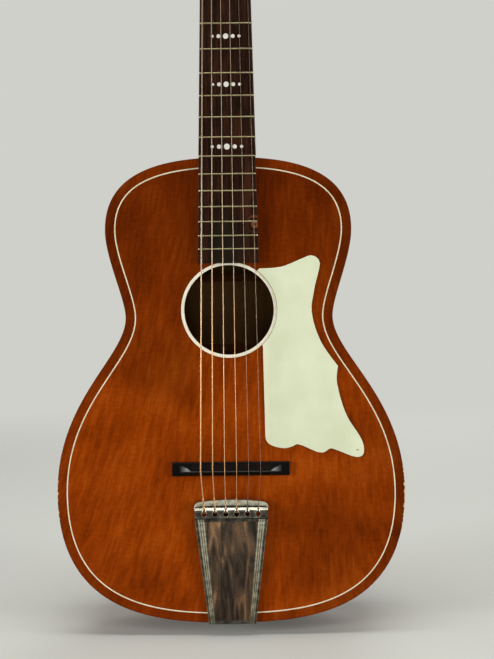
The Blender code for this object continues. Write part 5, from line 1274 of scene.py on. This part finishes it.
def postPath(number):
    # tangent to the post from the nut, then a helix that climbs the post, then a short cut end
    side, a = postPlaces()[number]
    radius = strings["diameters"][number] / 2
    reach = post["waist"] + strings["gapToPost"] + radius
    start = headPlace.inverted() @ Vector((stringX(number, strings["nutPitch"]), -strings["atNut"],
            scale["nutZ"]))
    dx, da = side * post["side"] - start.x, a - start.y
    first = math.atan2(da, dx) + side * math.asin(reach / math.hypot(dx, da)) + side * math.pi / 2
    turns = strings["turns"][number]
    t = np.linspace(0, turns, turns * strings["turnPoints"] + 1)
    angle = first - side * 2 * math.pi * t
    climb = strings["lowOnPost"] + (2 * radius + strings["gapBetween"]) * t
    local = np.column_stack((side * post["side"] + reach * np.cos(angle), a + reach * np.sin(angle), climb))
    local = np.concatenate((local, local[-1:] + unitRows(local[-1:] - local[-2:-1]) * strings["cutEnd"]))
    return local @ np.array(headPlace.to_3x3()).T + np.array(headPlace.translation)


def sweptTube(path, radii, normals, sides=strings["sides"]):
    # a circle carried along a path, square to it, with one side kept towards the given normals
    ahead = unitRows(np.gradient(path, axis=0))
    first = unitRows(normals - ahead * np.sum(normals * ahead, axis=1, keepdims=True))
    second = np.cross(ahead, first)
    angle = np.linspace(0, 2 * math.pi, sides, endpoint=False)[None, :, None]
    around = first[:, None] * np.cos(angle) + second[:, None] * np.sin(angle)
    return gridPart(path[:, None] + around * np.asarray(radii)[:, None, None])


def makeStrings():
    # round wire along the whole route; near the ball end it is wrapped: a wound string grows a sleeve and
    # a plain one is twisted round with a second strand, a helix about the first
    headNormal = np.array(headPlace.to_3x3())[:, 2]
    for number, name in enumerate(strings["names"]):
        wire, slot = strings["diameters"][number] / 2, tail["slotZ"]
        lead, winding = leadPath(number), postPath(number)
        wound = number < strings["wound"]
        straight = lead[4] - lead[3]
        wrapEnd = lead[3] + straight * strings["wrapLength"] / np.linalg.norm(straight)
        marks = lead[3] + straight * np.array((0.93, 1.0, 1.05))[:,
                None] * strings["wrapLength"] / np.linalg.norm(straight)
        points = np.concatenate((lead[:4], marks, lead[4:], winding[:1]))
        path = np.concatenate((softened(points, strings["softBend"]), winding[1:]))
        onPost = np.arange(len(path)) > len(path) - len(winding) - 2
        ahead = unitRows(np.gradient(path, axis=0))
        normals = np.where(onPost[:, None], headNormal, np.cross((1, 0, 0), ahead))
        along = np.concatenate(([0], np.cumsum(np.linalg.norm(np.diff(path, axis=0), axis=1))))
        onSleeve = (path[:, 2] > lead[3, 2] + 0.0004) & (path[:, 2] < marks[0, 2] + 1e-5)
        sleeve = np.where(onSleeve, 0.00016 if wound else 0.0, 0.0)
        parts = [sweptTube(path, wire + sleeve, normals)]
        fields = np.repeat(along, strings["sides"])
        if not wound:
            turn = np.linspace(0, strings["wrapTurns"], strings["wrapTurns"] * 14 + 1)
            wrapStart = lead[3] + (wrapEnd - lead[3]) * 0.18
            base = wrapStart + (wrapEnd - wrapStart) * np.linspace(0, 1, len(turn))[:, None]
            axis = straight / np.linalg.norm(straight)
            sideways = unitRows(np.cross((1, 0, 0), axis)[None])[0]
            swing = 2 * math.pi * turn[:, None]
            helix = base + (np.cos(swing) * np.array((1, 0, 0)) + np.sin(swing) * sideways) * (wire * 2.15)
            parts.append(sweptTube(helix, np.full(len(helix), wire * 1.1), np.tile(axis, (len(helix), 1)), 6))
            fields = np.concatenate((fields, np.zeros(len(helix) * 6)))
        crest = tail["base"] + tail["roll"] + tail["sheet"] / 2
        r, thick = strings["ball"], strings["ballThick"]
        barrel = [(0.0007, 0), (r - 0.0003, 0), (r, 0.0003), (r, thick - 0.0003), (r - 0.0003, thick),
                (0.0007, thick)]
        ball = turned(barrel, atFace(stringX(number, tail["pitch"]), -(crest - 0.0052), slot - 0.0039), 24,
                closed=True)
        parts.append(ball)
        fields = np.concatenate((fields, np.zeros(len(ball[0]))))
        addPiece(f"stringWire_{name}", parts, finishes["bronzeWinding" if wound else "plainSteelWire"],
                "root",
                [f"string_{name}"], {"along": fields}, smooth=60)


# Tuners, in the headstock's own frame

post = {"first": 0.032, "spacing": 0.035, "side": 0.0205, "radius": 0.0030, "waist": 0.0026, "rise": 0.0130,
        "waistLow": 0.0032, "waistHigh": 0.0095, "eye": 0.0010, "seat": 0.0020, "shoulder": 0.0042,
        "cap": 0.0034, "capHigh": 0.0012}
base = {"thickness": 0.0010, "width": 0.0150, "corner": 0.0030, "marginLow": 0.0170, "marginHigh": 0.0110,
        "gap": 0.0003, "earThick": 0.0012, "earHalf": 0.0032, "edge": 0.0002}
gear = {"teeth": 14, "pitch": 0.00224, "thickness": 0.0030, "wormPitch": 0.0027, "addendum": 0.0006,
        "dedendum": 0.00075, "thread": 0.00090, "tooth": 0.00085, "flank": math.radians(18), "turns": 3}
button = {"length": 0.0150, "height": 0.0185, "thick": 0.0082, "neck": 0.0031, "offset": 0.0030,
        "seat": 0.0060}
wheelRadius = gear["teeth"] * gear["pitch"] / (2 * math.pi)
wormDistance = wheelRadius + gear["wormPitch"]
wormRoot, wormTip = gear["wormPitch"] - gear["dedendum"], gear["wormPitch"] + gear["addendum"]
baseFace = -(head["thickness"] + base["gap"] + base["thickness"])
wormLevel = baseFace - base["gap"] - wormTip
wormReach = gear["turns"] * gear["pitch"] / 2 + gear["thread"] + base["gap"]


def postPlaces():
    heights = [post["first"] + post["spacing"] * i for i in range(3)]
    return [(-1, a) for a in heights] + [(1, a) for a in heights[::-1]]


def makePlates():
    # a rounded plate with bearing ears, cut for the posts and the shafts, and round-headed mounting screws
    low, high = post["first"] - base["marginLow"], post["first"] + 2 * post["spacing"] + base["marginHigh"]
    half, corner = base["width"] / 2, base["corner"]
    quarter = np.linspace(0, math.pi / 2, 7)
    for name, side in (("bass", -1), ("treble", 1)):
        x0 = side * post["side"]
        corners = ((half - corner, high - corner, 0), (-half + corner, high - corner, 1),
                (-half + corner, low + corner, 2), (half - corner, low + corner, 3))
        loop = np.concatenate([np.column_stack((x0 + cx + corner * np.cos(quarter + k * math.pi / 2),
                ca + corner * np.sin(quarter + k * math.pi / 2)))
                for cx, ca, k in corners])
        plate = prism(loop, baseFace, -head["thickness"] - 0.00003, headPlace, base["edge"])
        ears, holes, shafts, heads = [], [], [], []
        for side2, a in postPlaces():
            if side2 != side:
                continue
            wormA = a - wormDistance
            bow = np.linspace(0, math.pi, 17)
            ear = np.concatenate(([(wormA - base["earHalf"], baseFace + 0.0004),
                    (wormA + base["earHalf"], baseFace + 0.0004)],
                    np.column_stack((wormA + base["earHalf"] * np.cos(bow),
                    wormLevel - base["earHalf"] * np.sin(bow)))))
            for s in (-1, 1):
                near = x0 + s * wormReach
                place = headPlace @ Matrix(((0, 0, 1, min(near, near + s * base["earThick"])), (1, 0, 0, 0),
                        (0, 1, 0, 0), (0, 0, 0, 1)))
                ears.append(prism(ear[::-1], 0, base["earThick"], place, 0.0002, 2))
            holes.append(prism(circleLoop(post["radius"] + 0.0003, 32, x0, a), baseFace - 0.001, 0,
                    headPlace))
            along = headPlace @ Matrix.Translation((x0, wormA, wormLevel)) @ Matrix.Rotation(math.pi / 2, 4,
                    "Y")
            shafts.append(prism(circleLoop(wormRoot + 0.0003, 24), -wormReach - 0.003, wormReach + 0.003,
                    along))
        for a in (low + 0.0035, post["first"] + 0.0105, post["first"] + post["spacing"] + 0.0105,
                high - 0.0035):
            place = headPlace @ Matrix.Translation((x0, a, baseFace))
            heads.append((place, a))
        fixed = addPiece(f"tunerPlate_{name}", [plate] + ears, finishes["agedNickelTuner"], "root",
                [f"tuner_plate_{name}"], cuts=holes + shafts)
        screws = [screwShape(0.0021, 0.0009, 0.0010, 0.0008, place) for place, a in heads]
        slots = [screwSlot(0.0021, 0.0009, place, 40 * a) for place, a in heads]
        addPiece(f"plateScrews_{name}", screws, finishes["agedNickelTuner"], "root",
                cuts=slots)


def makeFerrules():
    # pressed nickel rings round the posts, on the headstock's face
    profile = [(post["radius"] + 0.0002, 0.00002), (post["radius"] + 0.0002, 0.0007), (0.0038, 0.0010),
            (0.0046, 0.0008), (0.0051, 0.0003), (0.0052, 0.00002)]
    parts = [turned(profile, headPlace @ Matrix.Translation((side * post["side"], a, 0)), 40, closed=True)
            for side, a in postPlaces()]
    addPiece("postFerrules", parts, finishes["agedNickelTuner"], "root")


def makeWorm(place, side, inner, outer):
    # radius over turn and length: the root, and a ridge of trapezoid section whose middle advances one
    # pitch for each turn, faded out at both ends of the thread
    x = np.concatenate((np.linspace(inner, -wormReach, 4)[:-1], np.linspace(-wormReach, wormReach, 110),
            np.linspace(wormReach, outer, 6)[1:]))[:, None]
    angle = np.linspace(0, 2 * math.pi, 36, endpoint=False)[None, :]
    turn = x / gear["pitch"] + gear["turns"] / 2 - angle / (2 * math.pi)
    off = np.abs(turn - np.round(turn)) * gear["pitch"]
    foot = gear["thread"] / 2 + gear["dedendum"] * math.tan(gear["flank"])
    crown = gear["thread"] / 2 - gear["addendum"] * math.tan(gear["flank"])
    ridge = np.clip((foot - off) / (foot - crown), 0, 1)
    limit = gear["turns"] * gear["pitch"] / 2
    fade = np.clip((limit - np.abs(x)) / 0.0006, 0, 1)
    radius = wormRoot + (wormTip - wormRoot) * ridge * fade
    grid = np.stack((x + 0 * angle, radius * np.cos(angle), radius * np.sin(angle)), axis=-1)
    return placed(gridPart(grid), place)


def makeWheel(place):
    # straight-flanked teeth round a bored disc, slanted through its thickness to follow the thread
    slope = math.tan(gear["flank"])
    lead = gear["pitch"] / (2 * math.pi * gear["wormPitch"])
    tip, root = wheelRadius + gear["addendum"], wheelRadius - gear["dedendum"]
    tipHalf = (gear["tooth"] / 2 - gear["addendum"] * slope) / tip
    rootHalf = (gear["tooth"] / 2 + gear["dedendum"] * slope) / root
    gapHalf = math.pi / gear["teeth"]
    shift = np.array((-gapHalf * 0.8, -rootHalf, -(rootHalf + tipHalf) / 2, -tipHalf, -tipHalf * 0.5,
            tipHalf * 0.5, tipHalf, (rootHalf + tipHalf) / 2, rootHalf))
    reach = np.array((root, root, (root + tip) / 2, tip - 0.00008, tip, tip, tip - 0.00008, (root + tip) / 2,
            root))
    middle = -math.pi / 2 + 2 * math.pi * np.arange(gear["teeth"])[:, None] / gear["teeth"]
    angle, radius = (middle + shift).ravel(), np.tile(reach, gear["teeth"])
    rows, half = [], gear["thickness"] / 2
    for height, drop in ((-half, 0.0002), (-half + 0.0002, 0), (-half / 2, 0), (0, 0), (half / 2, 0),
            (half - 0.0002, 0), (half, 0.0002)):
        turn = angle + height * lead / wheelRadius
        rows.append(np.column_stack(((radius - drop) * np.cos(turn), (radius - drop) * np.sin(turn),
                np.full(len(turn), height))))
    for radiusIn, height in ((post["seat"] + 0.0018, half), (post["seat"] + 0.0015, half - 0.00025),
            (post["seat"] + 0.0003, half - 0.00025),
            (post["seat"] + 0.0003, -half + 0.00025), (post["seat"] + 0.0015, -half + 0.00025),
            (post["seat"] + 0.0018, -half)):
        rows.append(np.column_stack((radiusIn * np.cos(angle), radiusIn * np.sin(angle),
                np.full(len(angle), height))))
    return placed(gridPart(np.array(rows), wrapRows=True), place)


def makeButton(place, side):
    # ovals along the shaft: height and thickness follow smooth curves from a round collar to a blunt end
    share = np.concatenate((np.linspace(0, 0.16, 4), np.linspace(0.18, 0.9, 22),
            1 - 0.1 * (1 - np.sin(np.linspace(0, math.pi / 2, 8)[1:]))))
    stations = (0, 0.10, 0.18, 0.27, 0.36, 0.48, 0.62, 0.76, 0.88, 0.95, 0.985, 1.0)
    tall = np.interp(share, stations, (0.335, 0.335, 0.38, 0.60, 0.80, 0.96, 1.0, 0.95, 0.80, 0.62, 0.42,
            0.0))
    deep = np.interp(share, stations, (0.756, 0.756, 0.78, 0.86, 0.95, 1.0, 0.99, 0.93, 0.80, 0.62, 0.42,
            0.0))
    smooth = np.array((0.25, 0.5, 0.25))
    for _ in range(3):
        tall[1:-1], deep[1:-1] = np.convolve(tall, smooth, "same")[1:-1], np.convolve(deep, smooth,
                "same")[1:-1]
    angle = np.linspace(0, 2 * math.pi, 40, endpoint=False)
    tallRow, deepRow = (tall * button["height"] / 2)[:, None], (deep * button["thick"] / 2)[:, None]
    grid = np.stack((side * button["length"] * share[:, None] + 0 * angle, tallRow * np.cos(angle),
            deepRow * np.sin(angle)), axis=-1)
    bore, deepEnd = wormRoot + 0.0003, side * button["seat"]
    well = [np.column_stack((np.full(40, x), r * np.cos(angle), r * np.sin(angle))) for x, r in
            ((deepEnd, 0), (deepEnd, bore), (0, bore))]
    return placed(gridPart(np.concatenate((np.array(well), grid)), capped=False), place)


def makeTuners():
    low, high = wormLevel - gear["thickness"] / 2, wormLevel + gear["thickness"] / 2
    collar = head["topHalf"] + button["offset"]
    for name, (side, a) in zip(strings["names"], postPlaces()):
        axis = headPlace @ Matrix.Translation((side * post["side"], a, 0))
        r, cap = post["radius"], low - 0.0003
        profile = [(0, cap - post["capHigh"]), (post["cap"] * 0.7, cap - post["capHigh"]),
                (post["cap"] * 0.92, cap - post["capHigh"] * 0.8), (post["cap"], cap - post["capHigh"] * 0.5),
                (post["cap"], cap), (post["seat"], cap), (post["seat"], high + 0.0003),
                (post["shoulder"], high + 0.0003),
                (post["shoulder"], baseFace - 0.0003), (r, baseFace - 0.0003), (r, post["waistLow"] - 0.0008),
                (r - 0.0002, post["waistLow"] - 0.0003), (post["waist"], post["waistLow"] + 0.0003),
                (post["waist"], post["waistHigh"] - 0.0010), (r - 0.0001, post["waistHigh"] - 0.0002),
                (r, post["waistHigh"]),
                (r, post["rise"] - 0.0008), (r * 0.92, post["rise"] - 0.0003), (r * 0.75, post["rise"]),
                (0, post["rise"])]
        eye = prism(circleLoop(post["eye"], 16), -0.01, 0.01,
                axis @ Matrix.Translation((0, 0, (post["waistHigh"] + post["rise"]) / 2))
                @ Matrix.Rotation(math.pi / 2, 4, "X"))
        cross = screwSlot(post["cap"], post["capHigh"], axis @ Matrix.Translation((0, 0, cap)), 20 * a)
        addPiece(f"tunerPost_{name}", [turned(profile, axis, 36)], finishes["agedNickelTuner"],
                f"post_{name}", [f"tuner_post_{name}"], cuts=[eye, cross])
        addPiece(f"wormWheel_{name}", [makeWheel(axis @ Matrix.Translation((0, 0, wormLevel)))],
                finishes["machinedBrass"], f"post_{name}", [f"tuner_wheel_{name}"], smooth=30)
        worm = axis @ Matrix.Translation((0, -wormDistance, wormLevel))
        ends = sorted((-side * (wormReach + base["earThick"] + 0.0003),
                side * (collar - post["side"] + button["seat"])))
        addPiece(f"wormShaft_{name}", [makeWorm(worm, side, *ends)], finishes["agedNickelTuner"],
                f"worm_{name}", [f"tuner_worm_{name}"])
        grip = worm @ Matrix.Translation((side * (collar - post["side"]), 0, 0))
        addPiece(f"tunerButton_{name}", [makeButton(grip, side)], finishes["creamButtonPlastic"],
                f"worm_{name}", [f"tuner_button_{name}"])


# Everything made in order

makeSoundboard()
makeRing()
makePinstripe()
makePickguard()
makeSides()
makeBack()
print("body made")
makeFingerboard()
makeFrets()
makeDots()
makeNeck()
makeNut()
print("neck made")
makeBridge()
makeTailpiece()
makeKeyholeRims()
makeTailFixings()
print("bridge and tailpiece made")
makeStrings()
print("strings made")
makePlates()
makeFerrules()
makeTuners()
print("tuners made")

# what the body holds inside keeps its imported shape and gets bare wood, coloured darker than bare spruce
# as painted shade inside the body
for row in frame["record"]["subparts"]:
    if row["material_slot"] == "bare_spruce":
        mesh = nodes[row["node"]].data
        mesh.materials.clear()
        mesh.materials.append(finishes["spruceInPaintedShade"])
print("inside parts finished")


# Floor

floorSheet = {"z": -0.0128, "radius": 4.5, "fadeFrom": 0.8, "fadeTo": 1.9, "around": 96, "color": "#C8C9C2"}


def makeFloor():
    # one round sheet that fades out far from the guitar, so the pale surroundings begin without a line
    s = floorSheet
    angles = np.linspace(0, 2 * math.pi, s["around"], endpoint=False)
    points = np.stack((s["radius"] * np.cos(angles), s["radius"] * np.sin(angles),
            np.full(len(angles), s["z"])), axis=1)
    mesh = bpy.data.meshes.new("floorSheet")
    mesh.from_pydata(points.tolist(), [], [list(range(len(points)))])
    floor = bpy.data.objects.new("floorSheet", mesh)
    bpy.context.scene.collection.objects.link(floor)
    material, tree = newMaterial("paleCloth")
    place = addNode(tree, "TexCoord").outputs["Object"]
    away = addNode(tree, "VectorMath", {0: place}, operation="LENGTH")
    fade = addNode(tree, "MapRange", {"Value": away.outputs["Value"], "From Min": s["fadeFrom"],
            "From Max": s["fadeTo"], "To Min": 1.0, "To Max": 0.0}, interpolation_type="SMOOTHSTEP")
    shader = addNode(tree, "BsdfPrincipled",
            {"Base Color": hexColor(s["color"]), "Roughness": 0.9, "Specular IOR Level": 0.1,
            "Alpha": fade.outputs[0]})
    closeMaterial(tree, shader)
    mesh.materials.append(material)


makeFloor()


# Light

def addLamp(name, place, target, size, power):
    data = bpy.data.lights.new(name, "AREA")
    data.shape = "RECTANGLE"
    data.size, data.size_y = size
    data.energy = power
    lamp = bpy.data.objects.new(name, data)
    lamp.location = place
    lamp.rotation_mode = "QUATERNION"
    lamp.rotation_quaternion = (Vector(target) - Vector(place)).to_track_quat("-Z", "Y")
    bpy.context.scene.collection.objects.link(lamp)


addLamp("windowLamp", (-2.35, -1.08, 0.45), (0, 0, 0.25), (0.7, 0.7), 60)
addLamp("roomLamp", (2.35, -1.08, 0.40), (0, 0, 0.25), (0.6, 0.6), 50)
addLamp("overheadLamp", (0, -0.12, 1.9), (0, 0.0, 0), (1.6, 0.5), 20)
addLamp("stripLamp", (0, -1.25, 1.45), (0, 0, 0.1), (1.7, 0.14), 2.6)
addLamp("rearLamp", (0.5, 2.3, 1.3), (0, 0, 0.35), (1.4, 1.4), 30)

# the room's own light is weak, but the camera and the metal see pale surroundings
world = bpy.data.worlds.new("studioWorld")
world.use_nodes = True
bpy.context.scene.world = world
sky = world.node_tree
rays = addNode(sky, "LightPath")
seen = addNode(sky, "Math", {0: rays.outputs["Is Camera Ray"], 1: rays.outputs["Is Glossy Ray"]},
        operation="MAXIMUM")
seen = addNode(sky, "Math", {0: seen.outputs[0], 1: rays.outputs["Is Transmission Ray"]}, operation="MAXIMUM")
level = addNode(sky, "MapRange", {"Value": seen.outputs[0], "To Min": 0.12, "To Max": 0.63})
sky.nodes["Background"].inputs["Color"].default_value = (1.0, 1.0, 0.94, 1)
sky.links.new(level.outputs[0], sky.nodes["Background"].inputs["Strength"])


# Camera, fitted to the frets, the saddle and the body's outline in the photograph's 494 x 659 frame

cameraFacts = {"place": (0.0203, -0.8649, 0.3278), "yaw": -0.18, "pitch": -2.27, "roll": -0.64,
        "focalPixels": 876.1, "longSidePixels": 659, "sensorMm": 36.0}


def makeCamera():
    c = cameraFacts
    yaw, pitch, roll = (math.radians(c[key]) for key in ("yaw", "pitch", "roll"))
    ahead = Vector((math.sin(yaw) * math.cos(pitch), math.cos(yaw) * math.cos(pitch), math.sin(pitch)))
    level = Vector((math.cos(yaw), -math.sin(yaw), 0))
    rise = level.cross(ahead)
    right = math.cos(roll) * level + math.sin(roll) * rise
    up = math.cos(roll) * rise - math.sin(roll) * level
    data = bpy.data.cameras.new("photoCamera")
    data.sensor_width = c["sensorMm"]
    data.lens = c["focalPixels"] * c["sensorMm"] / c["longSidePixels"]
    data.clip_start, data.clip_end = 0.01, 20
    camera = bpy.data.objects.new("photoCamera", data)
    turn = Matrix((right, up, -ahead)).transposed().to_4x4()
    camera.matrix_world = Matrix.Translation(Vector(c["place"])) @ turn
    bpy.context.scene.collection.objects.link(camera)
    bpy.context.scene.camera = camera


makeCamera()
bpy.context.scene.view_settings.view_transform = "Standard"
